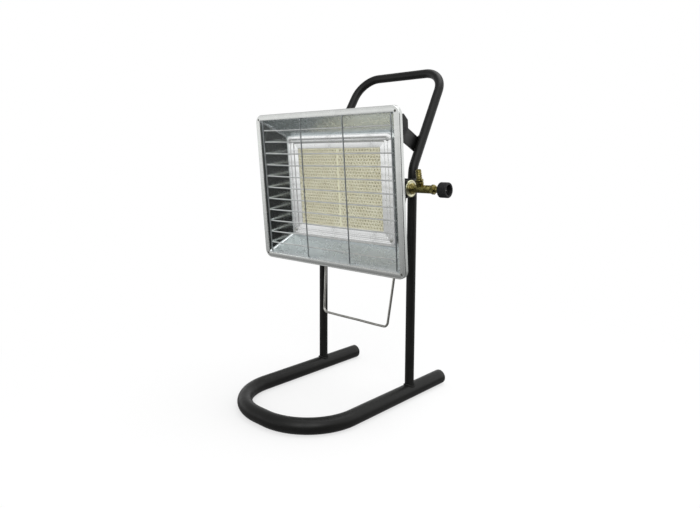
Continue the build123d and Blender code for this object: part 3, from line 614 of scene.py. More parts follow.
def brass():
    """Machined brass, dulled and darkened in patches."""
    f = Finish("brass", (0.36, 0.30, 0.11), 0.32, 1.0)
    tarnish = f.range(f.noise(5, 4, 0.65, warp=0.6), 0.38, 0.66)
    speck = f.range(f.noise(0.8, 2), 0.62, 0.78, 0.0, 0.4)
    tone = f.mix(tarnish, (0.34, 0.288, 0.108), (0.105, 0.089, 0.031))
    f.set("Base Color", f.mix(speck, tone, (0.07, 0.06, 0.022)))
    f.set("Roughness", f.range(tarnish, 0, 1, 0.22, 0.42))
    f.bump(f.noise(0.5, 3, 0.6, f.stretched((6, 1, 1))), 0.008)
    return f.material


def ceramic():
    """Matt fired ceramic: warm blotches and a fine sandy surface."""
    f = Finish("ceramic", (0.55, 0.50, 0.36), 0.85, Specular_IOR_Level=0.2)
    blotch = f.noise(22, 4, 0.6)
    grain = f.noise(0.7, 3, 0.6)
    tone = f.mix(f.range(blotch, 0.32, 0.7), (0.68, 0.665, 0.525), (0.60, 0.575, 0.43))
    f.set("Base Color", f.mix(f.range(grain, 0.55, 0.8, 0.0, 0.5), tone, (0.36, 0.335, 0.235)))
    f.set("Roughness", f.range(f.noise(3, 2), 0.3, 0.7, 0.82, 0.94))
    f.bump(grain, 0.05)
    return f.material


def fibre(name, colour, stain):
    """Ceramic fibre or fire cement: matt, short fibres and crumbs."""
    f = Finish(name, colour, 0.92, Specular_IOR_Level=0.2)
    f.set("Base Color", f.mix(f.range(f.noise(7, 4, 0.6), 0.35, 0.7), colour, stain))
    f.set("Roughness", f.range(f.noise(2, 2), 0.3, 0.7, 0.85, 0.97))
    f.bump(f.noise(0.9, 4, 0.7, f.stretched((1, 1, 0.4)), 0.5), 0.10)
    return f.material


BLACK = black_paint("black_paint", 0.27)
BLACK_FLAT = black_paint("black_paint_flat", 0.50)
PLASTIC = black_plastic()
RIM_SHEET = galvanised("rim_sheet", (0.2, 1, 0.2), (0.68, 0.695, 0.68), 0.24, 0.32, 14.0)
# The funnel's walls are one galvanised sheet in two copies: the side walls are painted darker (painted
# shade) and the top and bottom walls lighter (painted light).
SHADED_SIDE_WALL = galvanised("shaded_side_sheet", (1, 0.05, 1), (0.62, 0.66, 0.65), 0.15, 0.19, 11.0, 0.25)
LIT_LEVEL_WALL = galvanised("lit_level_sheet", (0.05, 1, 1), (0.77, 0.81, 0.82), 0.26, 0.30, 11.0, 0.2)
PRESSED = galvanised("pressed_sheet", (0.3, 1, 0.3), (0.94, 0.95, 0.95), 0.22, 0.29, 6.0, 0.2)
HOUSING_SHEET = galvanised("housing_sheet", (0.3, 1, 0.3), (0.58, 0.60, 0.60), 0.30, 0.42, 9.0)
# The guard's wires are one zinc-plated wire in two copies: the level bars are painted lighter (painted
# light) and the uprights darker (painted shade).
LIT_BAR_WIRE = plated("bar_wire", (0.72, 0.73, 0.72), 0.36, (0.58, 0.595, 0.60))
SHADED_UPRIGHT_WIRE = plated("upright_wire", (0.40, 0.42, 0.43), 0.36, (0.25, 0.27, 0.28))
BLACK_ZINC = plated("black_zinc", (0.035, 0.035, 0.038), 0.38, (0.02, 0.02, 0.021), 2.0)
BAIL_WIRE = plated("bail_wire", (0.47, 0.465, 0.44), 0.34, (0.34, 0.335, 0.31), 5.0)
SCREW_ZINC = plated("screw_zinc", (0.70, 0.70, 0.68), 0.30, (0.55, 0.55, 0.52), 2.0)
YELLOW_ZINC = plated("yellow_zinc", (0.74, 0.70, 0.50), 0.30, (0.58, 0.60, 0.42), 2.5)
BRASS = brass()
CERAMIC = ceramic()
CEMENT = fibre("cement", (0.80, 0.79, 0.60), (0.70, 0.69, 0.50))
FIBRE = fibre("fibre", (0.80, 0.79, 0.74), (0.66, 0.65, 0.60))
FRICTION_PAD_AND_SHADE = fibre("friction_pad", (0.06, 0.058, 0.055), (0.10, 0.095, 0.085))


# ================================================================ stand
def bead(form, curve, radius, seed):
    """Weld bead: a lumpy closed ring whose ripples follow each other along a curve."""
    lengths = [0.0]
    for one, two in zip(curve, curve[1:]):
        lengths.append(lengths[-1] + (two - one).length)

    def swell(i):
        ripple = 0.10 * cos(2 * pi * lengths[i] / WELD_RIPPLE)
        return radius * (1 + ripple + 0.16 * waver(curve[i], 5.0, seed))

    sweep(form, curve, swell, 12, closed=True)


def build_base():
    """One tube bent to a U that is open at the rear, with rounded edges at its ends."""
    places = ((-POST_X, BASE_REAR), (-POST_X, -BASE_FRONT), (POST_X, -BASE_FRONT), (POST_X, BASE_REAR))
    corners = [(x, y, BASE_RADIUS) for x, y in places]
    start, *middle, end = divided(rounded(corners, BASE_CORNER, turn=2.5), 12.0)
    edge = 0.6
    near, far = Vector((0, edge * 0.3, 0)), Vector((0, edge, 0))
    path = [start, start - near, start - far, *middle, end - far, end - near, end]
    last = len(path) - 1
    trims = {0: edge, 1: edge * 0.3, last: edge, last - 1: edge * 0.3}
    form = Form()
    sweep(form, path, lambda i: BASE_RADIUS - trims.get(i, 0.0), 64)
    piece("base_tube_skin", form, BLACK, "stand", ["base_tube"])


def build_caps():
    """Plugs in the ends of the base: a shank, a collar and a flat dome."""
    collar = 0.7
    shank, shank_end = 10.1, -14.0
    steps = 14
    dome_radius = (BASE_RADIUS**2 + CAP_DOME**2) / (2 * CAP_DOME)
    profile = [(shank_end, 0.0), (shank_end, shank - 0.5), (shank_end + 0.8, shank), (0.15, shank)]
    profile += [(0.15, BASE_RADIUS - 0.5), (0.35, BASE_RADIUS - 0.15)]
    profile.append((0.35 + collar, BASE_RADIUS - 0.05))
    for k in range(1, steps + 1):
        reach = (BASE_RADIUS - 0.05) * cos(pi / 2 * k / steps)
        bulge = CAP_DOME - dome_radius + sqrt(dome_radius**2 - reach**2)
        profile.append((max(0.36 + collar, bulge), reach if k < steps else 0.0))
    for side, label in SIDES:
        form = lathe(Form(), along((side * POST_X, BASE_REAR, BASE_RADIUS), (0, 1, 0)), profile, 56)
        piece(f"end_cap_{label}_skin", form, PLASTIC, "stand", [f"end_cap_{label}"])


def saddle(side, angle, reach, lift):
    """Point where a cylinder round a post's axis meets the back of the base tube."""
    x = reach * cos(angle)
    height = BASE_RADIUS + sqrt(BASE_RADIUS**2 - x**2) + lift
    return Vector((side * POST_X + x, reach * sin(angle), height))


def build_posts():
    """One bent tube, posts and handle, with a weld bead where it stands on the base."""
    half = [(POST_X, 0, TUBE_START), (POST_X, 0, BEND_HEIGHT), (HANDLE_X, GRIP_Y, GRIP_Z)]
    corners = [(-x, y, z) for x, y, z in half] + half[::-1]
    radii = (0, BEND_RADIUS, HANDLE_CORNER, HANDLE_CORNER, BEND_RADIUS, 0)
    form = Form()
    path = divided(rounded(corners, radii, turn=2.5), 15.0)
    sweep(form, path, POST_RADIUS, 56)
    for side in (-1, 1):
        reach = POST_RADIUS + POST_BEAD_OUT
        ring = [saddle(side, angle, reach, POST_BEAD_LIFT) for angle in round_steps(160)]
        bead(form, ring, POST_BEAD, seed=side * 2.3)
    piece("post_handle_skin", form, BLACK, "stand", ["post_handle_tube"])


def build_straps():
    """Flat bars from the tilt pivots to the uprights, with a weld bead along each joint."""
    pivot_y = HEAD_Y + PIVOT[0] * cos(TILT) - PIVOT[1] * sin(TILT)
    pivot_z = HEAD_Z + PIVOT[0] * sin(TILT) + PIVOT[1] * cos(TILT)
    weld_y = (STRAP_WELD_Z - BEND_HEIGHT) * tan(HANDLE_LEAN)
    reach = Vector((weld_y - pivot_y, STRAP_WELD_Z - pivot_z, 0))
    ahead = reach.normalized()
    beside = Vector((-ahead.y, ahead.x, 0))
    arc = []
    steps = 24
    for k in range(steps + 1):
        angle = pi / 2 + pi * k / steps
        arc.append((ahead * cos(angle) + beside * sin(angle)) * STRAP_HALF)
    end = reach.length
    outline = arc + [ahead * end - beside * STRAP_HALF, ahead * end + beside * STRAP_HALF]
    thickness = STRAP_X[1] - STRAP_X[0]
    slope = (HANDLE_X - POST_X) / (GRIP_Z - BEND_HEIGHT)
    for side, label in SIDES:
        flat = plate(outline, [circle(0, 0, BOLT_HOLE)], thickness, 0.45)
        columns = Matrix(((0, 0, side), (1, 0, 0), (0, 1, 0))).to_4x4()
        place = Matrix.Translation(Vector((side * STRAP_X[0], pivot_y, pivot_z))) @ columns
        form = Form().join(flat, place)
        for edge in (-1, 1):
            curve = []
            for turn in round_steps(60):
                run = end - BEAD_MIDDLE + BEAD_REACH * cos(turn)
                spot = ahead * run + beside * edge * (STRAP_HALF - 0.4 + 0.7 * sin(turn))
                height = pivot_z + spot.y
                tube_x = POST_X + slope * (height - BEND_HEIGHT)
                away = abs(end - run) * 0.92
                skin = tube_x - sqrt(max(POST_RADIUS**2 - away**2, 1.0))
                curve.append(Vector((side * max(skin, STRAP_X[0] + 0.6), pivot_y + spot.x, height)))
            bead(form, curve, STRAP_BEAD, seed=4.1 * edge + side)
        piece(f"strap_{label}_skin", form, BLACK_FLAT, "stand", [f"strap_arm_{label}"])


# ================================================================ head: rim and reflector
def build_rim():
    """Pressed frame: turned lip, round fold, slightly crowned face and corner reliefs."""
    rows = []

    def add(share, fold, depth):
        """A share of the face's width in from the edge, and a distance round the fold."""
        half = [RIM[axis] - fold - (RIM_FACE[axis] - fold) * share for axis in (0, 1)]
        corner = (RIM_CORNER - fold) * (1 - share) + 1.0 * share
        rows.append(rectangle(half, corner, depth, 12))

    crown = 0.6               # how far the face's edges lie behind its highest line
    top = 0.6                 # where that line runs, as a share of the face's width
    add(0, 0.25, RIM_LIP)
    add(0, 0.0, RIM_LIP - 0.3)
    add(0, 0.0, (RIM_LIP + RIM_FOLD) / 2)
    for k in range(9):
        angle = pi / 2 * k / 8
        setback = crown * max(k - 4, 0) / 4
        add(0, RIM_FOLD * (1 - cos(angle)), RIM_FOLD * (1 - sin(angle)) + setback)
    for share in (0.1, 0.2, 0.3, 0.4, 0.5, 0.6, 0.7, 0.8, 0.9, 0.97):
        add(share, RIM_FOLD, crown * (share - top) ** 2 / top**2)
    add(1, RIM_FOLD, crown)
    add(1, RIM_FOLD, SHEET)
    add(0.7, RIM_FOLD, SHEET + 0.2)
    add(0.1, RIM_FOLD, SHEET + 0.1)
    add(0, SHEET, RIM_FOLD + SHEET)
    add(0, SHEET, RIM_LIP - 0.2)
    for row in rows:
        for point in row:
            point.y += 0.10 * waver((point.x, 0, point.z), 46.0, 1.9) + 0.02
    form = Form()
    form.skin(rows, loop=True)
    places = [(sx * RELIEF_PLACE[0], sz * RELIEF_PLACE[1]) for sx in (-1, 1) for sz in (-1, 1)]
    hole = [(2.0, 0.0), (2.0, RELIEF), (0.5, RELIEF), (0.0, RELIEF + 0.3)]
    form = drilled(form, places, hole + [(-2.0, RELIEF + 1.5), (-2.0, 0.0)])
    piece("rim_skin", form, RIM_SHEET, "head", ["rim_frame"], HEAD)
    # Dark discs close the relief holes, which show dark in the photograph. They are a device for
    # the look alone and stand for no piece of the heater.
    shade = Form()
    disc = [(SHEET - 0.1, RELIEF), (SHEET - 0.3, RELIEF - 0.2), (SHEET - 0.35, 0.3)]
    for x, z in places:
        lathe(shade, facing_back(x, z), disc, 24)
    # The discs take the dark friction-pad finish as painted shade in the holes.
    piece("rim_relief_shade", shade, FRICTION_PAD_AND_SHADE, "head", [], HEAD)


def mitre_reach(rise):
    """Distance of the mitre from the middle at a height, on the upper right of the funnel."""
    return THROAT[0] + (rise - THROAT[1]) * (OPENING[0] - THROAT[0]) / (OPENING[1] - THROAT[1])


def mitre_rise(x):
    """Height of the mitre at a distance from the middle."""
    return THROAT[1] + (x - THROAT[0]) * (OPENING[1] - THROAT[1]) / (OPENING[0] - THROAT[0])


def flange_reach(which, place):
    """Half length of a panel's front flange at a place, where the rim's round corners end it."""
    corner = RIM_CORNER - HEM
    past = max(place - (RIM[which] - HEM - corner), 0.0)
    return RIM[1 - which] - HEM - corner + sqrt(max(corner**2 - past**2, 0.0))


def build_panel(name, which, sign, finish, seed):
    """One folded panel of the funnel: front flange, sloping wall and rear flange."""
    level = which == 1
    corners = [
        (SHEET, RIM[which] - HEM, 0),
        (SHEET, OPENING[which], 0),
        (FUNNEL_BACK, THROAT[which], 0),
        (FUNNEL_BACK, SEAT[which], 0),
    ]
    profile = divided(rounded(corners, FOLD, turn=9.0), 2.0)
    divisions = 40
    front, back = [], []
    for i, point in enumerate(profile):
        ahead = (profile[min(i + 1, len(profile) - 1)] - profile[max(i - 1, 0)]).normalized()
        normal = Vector((-ahead.y, ahead.x))
        reach = (mitre_reach(point.y) if level else mitre_rise(point.y)) - 0.15
        reach = min(reach, flange_reach(which, point.y))
        wall = SHEET + 1 < point.x < FUNNEL_BACK - 1
        share = (point.x - SHEET) / (FUNNEL_BACK - SHEET)
        for row, offset in ((front, 0.0), (back, SHEET)):
            line = []
            for k in range(divisions + 1):
                run = 2 * k / divisions - 1
                sag = 0.0
                if wall:
                    window = (1 - run**4) * sin(pi * share) ** 0.5
                    sag = window * (0.30 * waver((run * reach, point.y, 0), 60.0, seed) + 0.10)
                depth = point.x + normal.x * (offset + sag)
                out = sign * (point.y + normal.y * (offset + sag))
                line.append((run * reach, depth, out) if level else (out, depth, run * reach))
            row.append(line)
    form = Form()
    front = form.skin(front, closed=False)
    back = form.skin(back, closed=False)
    for one, two in ((front[0], back[0]), (front[-1], back[-1])):
        form.bridge(one, two, closed=False)
    for end in (0, -1):
        form.bridge([row[end] for row in front], [row[end] for row in back], closed=False)
    if level:
        for side in (-1, 1):
            build_seam(form, side, sign, seed)
    head_piece(name, form, finish, SOFT)


def build_seam(form, side, sign, seed):
    """Lock seam along a corner of the funnel: a flattened round strip on the mitre."""
    start = Vector((side * (OPENING[0] - 0.6), SHEET + 1.2, sign * (OPENING[1] - 0.6)))
    end = Vector((side * (THROAT[0] - 0.2), FUNNEL_BACK - 0.4, sign * (THROAT[1] - 0.2)))
    ahead = (end - start).normalized()
    inward = Vector((-side * 0.42, -0.80, -sign * 0.42))
    inward = (inward - ahead * inward.dot(ahead)).normalized()
    across = ahead.cross(inward)
    rows = []
    steps, across_steps = 24, 12
    for k in range(steps + 1):
        point = start.lerp(end, k / steps)
        width = SEAM * (1 + 0.10 * waver(point, 9.0, seed))
        row = []
        for j in range(across_steps + 1):
            angle = pi * j / across_steps
            rise = SEAM_HEIGHT * sin(angle) + SEAM_LIFT
            row.append(point + across * width * cos(angle) + inward * rise)
        rows.append(row)
    form.solid(rows)


def build_reflector():
    """The funnel's four panels."""
    # Top and bottom take the sheet with painted light, the sides the sheet with painted shade.
    build_panel("reflector_top", 1, 1, LIT_LEVEL_WALL, 5.3)
    build_panel("reflector_bottom", 1, -1, LIT_LEVEL_WALL, 8.1)
    build_panel("reflector_right", 0, 1, SHADED_SIDE_WALL, 2.2)
    build_panel("reflector_left", 0, -1, SHADED_SIDE_WALL, 6.4)


# ================================================================ head: guard
def build_guard():
    """Upright wires hooked through the funnel, and level bars welded behind them."""
    uprights = Form()
    bars = Form()
    pitch = 2 * GUARD_X / (GUARD_UPRIGHTS - 1)
    columns = [pitch * k - GUARD_X for k in range(GUARD_UPRIGHTS)]
    bows = (0.5, -1.0, 1.1, 1.6)
    weld = [(-1.5, 0.0), (-1.3, 0.75), (-0.7, 1.15), (0, 1.3), (0.7, 1.15), (1.3, 0.75), (1.5, 0.0)]

    def bend(z, column):
        """How far an upright strays sideways at a height."""
        share = 1 - (z / GUARD_Z) ** 2
        return bows[column] * share * (0.6 + 0.9 * waver((0, column * 31.0, z), 70.0, 2.6))

    def stray(x, row):
        """How far a level bar strays upwards."""
        return 0.75 * waver((x, row * 17.0, 0), 80.0, 4.4)

    for column, x in enumerate(columns):
        corners = [(x, GUARD_END, -GUARD_Z), (x, GUARD_DEPTH, -GUARD_Z)]
        corners += [(x, GUARD_DEPTH, GUARD_Z), (x, GUARD_END, GUARD_Z)]
        path = divided(rounded(corners, GUARD_BEND, turn=12.0), 6.0)
        for point in path:
            point.x += bend(point.z, column)
            point.y += 0.25 * (1 - (point.z / GUARD_Z) ** 2) * waver(point, 50.0, column)
        sweep(uprights, path, GUARD_RADIUS, 14)
    for row in range(GUARD_BARS):
        z = GUARD_PITCH * (row - (GUARD_BARS - 1) / 2)
        reach = GUARD_X + BAR_OVERHANG
        path = divided([Vector((-reach, BAR_DEPTH, z)), Vector((reach, BAR_DEPTH, z))], 7.0)
        for point in path:
            point.z += stray(point.x, row)
            point.y += 0.12 * waver((point.x, row * 29.0, 0), 60.0, 7.7)
        sweep(bars, path, GUARD_RADIUS, 14)
        for column, x in enumerate(columns):
            depth = (GUARD_DEPTH + BAR_DEPTH) / 2
            middle = Vector((x + bend(z, column), depth, z + stray(x, row)))
            lathe(bars, along(middle, (1, 0, 0.3 * waver(middle, 3.0))), weld, 10)
    nodes = ["guard_grille"]
    # The uprights take the wire with painted shade, the bars the wire with painted light.
    piece("guard_upright_wires", uprights, SHADED_UPRIGHT_WIRE, "head", nodes, HEAD, ROUND)
    piece("guard_level_wires", bars, LIT_BAR_WIRE, "head", [], HEAD, ROUND)


# ================================================================ head: burner
def build_burner_frame():
    """Pressed bezel that steps down from its ridge to a terrace and on to the land."""
    rows = []

    def add(side, top, corner, depth):
        rows.append(rectangle((BURNER[0] - side, BURNER[1] - top), corner, depth, 10, 12))

    ridge = 0.9               # radius of the ridge's outer edge
    add(0.0, 0.0, BURNER_CORNER, FUNNEL_BACK)
    for k in range(6):
        angle = pi / 2 * k / 5
        trim = ridge * (1 - cos(angle))
        add(trim, trim, BURNER_CORNER - trim, BURNER_FRONT + ridge * (1 - sin(angle)))
    add(3.2, 2.5, 6.0, BURNER_FRONT + 0.06)
    # Two slopes: insets at their outer edge, corner radius, run, and the depths they join.
    for side, top, corner, run, high, low in (
        (5.9, 3.9, 4.6, 3.8, BURNER_FRONT, TERRACE_FRONT),
        (13.5, 10.1, 3.8, 3.0, TERRACE_FRONT, LAND_FRONT),
    ):
        for k in range(11):
            share = k / 10
            step = run * share
            depth = high + (low - high) * share**2 * (3 - 2 * share)
            add(side + step, top + step, corner - 0.7 * step, depth)
    edge = (BURNER[0] - WINDOW[0], BURNER[1] - WINDOW[1])
    add(edge[0] - 0.9, edge[1] - 0.9, 1.6, LAND_FRONT + 0.02)
    add(edge[0] - 0.25, edge[1] - 0.25, 1.1, LAND_FRONT + 0.14)
    add(edge[0], edge[1], 1.0, LAND_FRONT + 0.45)
    add(edge[0], edge[1], 1.0, FUNNEL_BACK)
    form = Form()
    form.skin(rows, loop=True)
    flat = [(TERRACE_FRONT, 0.0), (TERRACE_FRONT, SCREW_FLAT), (32.2, SCREW_FLAT + 0.7)]
    form = drilled(form, SCREW_PLACES, flat + [(30.0, 4.0), (30.0, 0.0)])
    head_piece("burner_frame", form, PRESSED, FIRM)


def screw(form, place, head, height, shank, length, slot):
    """Pan-head screw with a cross recess, whose arms reach as far as slot. Its head faces along
    the X axis of its place."""
    sides, rings = 64, 12
    dome = 0.75               # share of the head's height that its round top takes
    arm_width = 0.24          # half of it, as a share of an arm's reach
    sunk = 0.62               # depth of the recess at its middle, as a share of that height
    rising = 0.55             # share of that depth that is lost towards the end of an arm
    profile = [(-length, 0.0), (-length, shank - 0.4), (-length + 0.5, shank)]
    profile += [(0.0, shank), (0.0, head - 0.1)]
    for k in range(rings + 1):
        share = 1 - k / rings
        profile.append((height * (1 - share**4 * dome), head * share))
    rows = []
    for distance, radius in profile:
        row = []
        for angle in round_steps(sides):
            y, z = radius * cos(angle), radius * sin(angle)
            arm, reach = sorted((abs(y), abs(z)))
            recessed = distance > 0 and arm < slot * arm_width and reach < slot
            depth = sunk * height * (1 - reach / slot * rising) if recessed else 0.0
            row.append(place @ Vector((distance - depth, y, z)))
        rows.append(row)
    form.skin(rows)


def build_burner_screws():
    """Screws in the corners of the burner frame, each turned its own way."""
    form = Form()
    for number, (x, z) in enumerate(SCREW_PLACES):
        place = along((x, TERRACE_FRONT, z), (0, -1, 0), 0.4 + 0.9 * number)
        screw(form, place, head=3.0, height=2.2, shank=1.75, length=11.0, slot=1.75)
    piece("burner_frame_screws", form, SCREW_ZINC, "head", ["frame_screws"], HEAD)


def build_plaque(side, label):
    """Ceramic plaque: a lattice of round recesses in hexagonal cells, with a plain margin. The
    lattice first reaches past the plaque on every side, and is then cut to it."""
    shape = bmesh.new()
    low, high = sorted((side * PLAQUE_X[0], side * PLAQUE_X[1]))
    rise = CELL * sqrt(3) / 2
    columns = int((high - low) / CELL) + 3
    lines = int(PLAQUE_Z / rise) + 2
    sides = 12                # of a recess, two to each side of its cell
    angles = [pi / 6 * k for k in range(sides)]
    reaches = [CELL / 2, CELL / sqrt(3)] * (sides // 2)
    rim = [(reach * cos(a), reach * sin(a)) for a, reach in zip(angles, reaches)]
    for line in range(-lines, lines + 1):
        for column in range(columns):
            x = low + CELL * (column - 1) + (CELL / 2 if line % 2 else 0)
            z = line * rise
            inside = low + CELL_MARGIN < x < high - CELL_MARGIN and abs(z) < PLAQUE_Z - CELL_MARGIN
            rings = [[shape.verts.new((x + px, FUNNEL_BACK, z + pz)) for px, pz in rim]]
            for share, depth in RECESS if inside else ():
                reach = share * CELL / 2
                spots = [(x + reach * cos(a), FUNNEL_BACK + depth, z + reach * sin(a)) for a in angles]
                rings.append([shape.verts.new(spot) for spot in spots])
            for one, two in zip(rings, rings[1:]):
                for i in range(sides):
                    j = (i + 1) % sides
                    shape.faces.new((one[i], one[j], two[j], two[i]))
            shape.faces.new(rings[-1])
    bmesh.ops.remove_doubles(shape, verts=shape.verts, dist=0.01)
    left, right, up, down = (-1, 0, 0), (1, 0, 0), (0, 0, 1), (0, 0, -1)
    edges = [((low, 0, 0), left), ((high, 0, 0), right)]
    edges += [((0, 0, PLAQUE_Z), up), ((0, 0, -PLAQUE_Z), down)]
    for spot, normal in edges:
        parts = list(shape.verts) + list(shape.edges) + list(shape.faces)
        bmesh.ops.bisect_plane(shape, geom=parts, plane_co=spot, plane_no=normal, clear_outer=True)
    border = [edge for edge in shape.edges if len(edge.link_faces) == 1]
    walls = bmesh.ops.extrude_edge_only(shape, edges=border)["geom"]
    rear = [item for item in walls if isinstance(item, bmesh.types.BMVert)]
    for vertex in rear:
        vertex.co.y = PLAQUE_BACK
    bmesh.ops.contextual_create(shape, geom=[e for e in shape.edges if len(e.link_faces) == 1])
    form = Form()
    shape.verts.index_update()
    form.row(vertex.co for vertex in shape.verts)
    form.faces = [tuple(vertex.index for vertex in face.verts) for face in shape.faces]
    shape.free()
    head_piece(f"plaque_{label}", form, CERAMIC, FIRM)


def build_seam_strip():
    """Cement between the plaques: uneven and slightly proud."""
    form = Form()
    rows = []
    steps = 90
    for k in range(steps + 1):
        z = PLAQUE_Z * (2 * k / steps - 1)
        width = PLAQUE_X[0] * (1.15 + 0.30 * waver((0, 0, z), 7.0, 3.3))
        proud = 0.35 + 0.15 * waver((5, 0, z), 5.0, 9.1)
        row = [(-width, PLAQUE_BACK, z)]
        for j in range(9):
            share = j / 4 - 1
            row.append((width * share, FUNNEL_BACK + 0.1 - proud * (1 - share**2), z))
        row.append((width, PLAQUE_BACK, z))
        rows.append(row)
    form.solid(rows)
    piece("plaque_cement", form, CEMENT, "head", ["plaque_seam_strip"], HEAD, ROUND)


def build_gasket():
    """Stepped ring of fibre between plaques, funnel and housing."""
    seat = (SEAT[0] - 0.2, SEAT[1] - 0.2)
    inner = (PLAQUE_X[1], PLAQUE_Z)
    rows = []
    for half, corner, depth in (
        (seat, 1.0, FUNNEL_BACK + 0.3),
        (seat, 1.0, FUNNEL_BACK + SHEET),
        (GASKET, 1.0, FUNNEL_BACK + SHEET),
        (GASKET, 1.0, HOUSING_FRONT),
        (GASKET_STEP, 4.0, HOUSING_FRONT),
        (GASKET_STEP, 4.0, HOUSING_FRONT + GASKET_INSIDE),
        (inner, 0.4, HOUSING_FRONT + GASKET_INSIDE),
        (inner, 0.4, FUNNEL_BACK + 0.3),
    ):
        rows.append(rectangle(half, corner, depth))
    form = Form()
    form.skin(rows, loop=True)
    head_piece("plaque_gasket", form, FIBRE)


def build_housing():
    """Drawn box: flange with a small root radius, walls with a slight draft, round rear edge."""
    rows = []

    def add(half_step, corner, depth):
        rows.append(rectangle((HOUSING[0] + half_step, HOUSING[1] + half_step), corner, depth))

    flange_back = HOUSING_FRONT + HOUSING_WALL
    edge = 0.3
    flange = [(edge, HOUSING_FRONT), (0.0, HOUSING_FRONT + edge)]
    flange += [(0.0, flange_back - edge), (edge, flange_back)]
    for trim, depth in flange:
        half = (HOUSING_FLANGE[0] - trim, HOUSING_FLANGE[1] - trim)
        rows.append(rectangle(half, BURNER_CORNER - 1.5, depth))
    root = 1.8
    for k in range(5):
        angle = pi / 2 * k / 4
        add(root * (1 - sin(angle)), HOUSING_CORNER, flange_back + root * (1 - cos(angle)))
    for k in range(8):
        angle = pi / 2 * k / 7
        trim = HOUSING_EDGE * (1 - cos(angle))
        add(-trim, HOUSING_CORNER - trim * 0.4, HOUSING_BACK - HOUSING_EDGE * (1 - sin(angle)))
    for inward, corner, hollow in ((9.0, 4.0, 0.0), (26.0, 3.0, 0.15), (48.0, 2.0, 0.25)):
        add(-HOUSING_EDGE - inward, corner, HOUSING_BACK - hollow)
    form = Form()
    form.solid(rows)
    head_piece("burner_housing", form, HOUSING_SHEET, FIRM)


# ================================================================ gas side
def build_mixing_tube():
    """Tube with a rolled bell mouth and the ferrule that holds it in the housing's wall."""
    inner_end = -48.8
    wall = HOUSING[0]
    profile = [(inner_end, 9.0)] + shifted(wall, [(-2, 9.0), (1.5, 9.6), (3.6, 10.8)])
    profile += shifted(wall + 5.0, [(-0.3, 12.2), (0, 12.5), (0, 12.9), (-0.5, 13.0)])
    profile += shifted(wall, [(3.2, 12.0), (1.4, 11.2), (1.0, 11.8), (1.0, 13.2), (0.7, 13.5)])
    profile += shifted(wall, [(0.1, 13.5), (0.1, 10.0)]) + [(inner_end, 10.0)]
    form = lathe(Form(), GAS_AXIS, profile, 64, hollow=True)
    head_piece("mixing_tube", form, PRESSED, SOFT)


def build_carrier():
    """Angle of strip steel that holds valve and injector behind the rim."""
    outer = CARRIER_X + CARRIER
    back = HOUSING_BACK + CARRIER
    tip = GAS_DEPTH - CARRIER_REACH
    corners = [(CARRIER_FOOT, HOUSING_BACK, 0), (CARRIER_X, HOUSING_BACK, 0), (CARRIER_X, tip, 0)]
    corners += [(outer, tip, 0), (outer, back, 0), (CARRIER_FOOT, back, 0)]
    outline = rounded(corners, (0.5, 1.0, 0.5, 0.5, 3.5, 0.5), closed=True, turn=15.0)
    area = sum(a.x * b.y - b.x * a.y for a, b in zip(outline, outline[1:] + outline[:1]))
    if area < 0:
        outline.reverse()
    strip = plate(outline, [], 2 * CARRIER_HALF, 0.4)
    form = Form().join(strip, Matrix.Translation(Vector((0, 0, -CARRIER_HALF))))
    head_piece("valve_carrier", form, BLACK)


def build_injector():
    """Nozzle whose hexagon screws up to the carrier."""
    start, end = CARRIER_X - 5.0, CARRIER_X
    nose = shifted(CARRIER_X - 14.0, [(3, 0.0), (2.5, 0.6), (0, 0.6), (0, 2.3), (1.5, 3.8)])
    form = lathe(Form(), GAS_AXIS, nose + [(start, 3.8)], 40)
    nut = [(start, 5.6), (start + 0.7, 6.95), (end - 0.05, 6.95)]
    lathe(form, GAS_AXIS, nut, 60, hexagon(INJECTOR_HEX))
    head_piece("injector", form, BRASS)


def build_washer():
    """Large washer under the valve: pressed slightly hollow, with a rolled edge."""
    front = [(0, 4.1), (0, 12.7), (0.4, 13.2), (1.1, 13.3), (1.7, 13.0), (1.95, 12.3)]
    back = [(1.8, 11.2), (1.45, 10.0), (1.4, 9.3), (1.7, 8.9), (2.0, 8.6), (2.0, 4.1)]
    profile = shifted(CARRIER_X + CARRIER, front + back)
    form = lathe(Form(), GAS_AXIS, profile, 72, hollow=True)
    head_piece("valve_washer", form, YELLOW_ZINC, SOFT)


def inlet_place():
    """Place whose X axis runs up along the inlet's axis."""
    direction = Vector((0, -sin(INLET_TURN), cos(INLET_TURN)))
    return along((INLET_X, GAS_DEPTH, 0), direction)


def build_valve_body():
    """Turned barrel with a nipple through the carrier, and the boss of the inlet."""
    barrel = [(117.5, 0.0), (117.5, 3.6), (118.0, 4.0), (WASHER_X, 4.0)]
    barrel += shifted(WASHER_X, [(0, 8.3), (0.4, 8.5), (3.2, 8.5), (4.0, 7.7), (4.2, 6.5)])
    barrel += shifted(WASHER_X, [(4.8, 6.05), (6.4, 6.05), (7.2, 6.2)])
    barrel += shifted(INLET_X, [(9.5, 6.2), (10.0, 5.7), (10.9, 5.7), (11.4, 6.2)])
    barrel += shifted(VALVE_END, [(-0.5, 6.2), (0, 5.7), (0, 0.0)])
    boss = [(0.0, 0.0), (0.0, 5.2), (6.2, 5.3), (7.2, 5.8), (10.4, 5.8), (11.0, 5.2), (11.0, 0.0)]
    body = lathe(Form(), GAS_AXIS, barrel, 64)
    form = combined(body, lathe(Form(), inlet_place(), boss, 56))
    head_piece("valve_body", form, BRASS, CRISP)


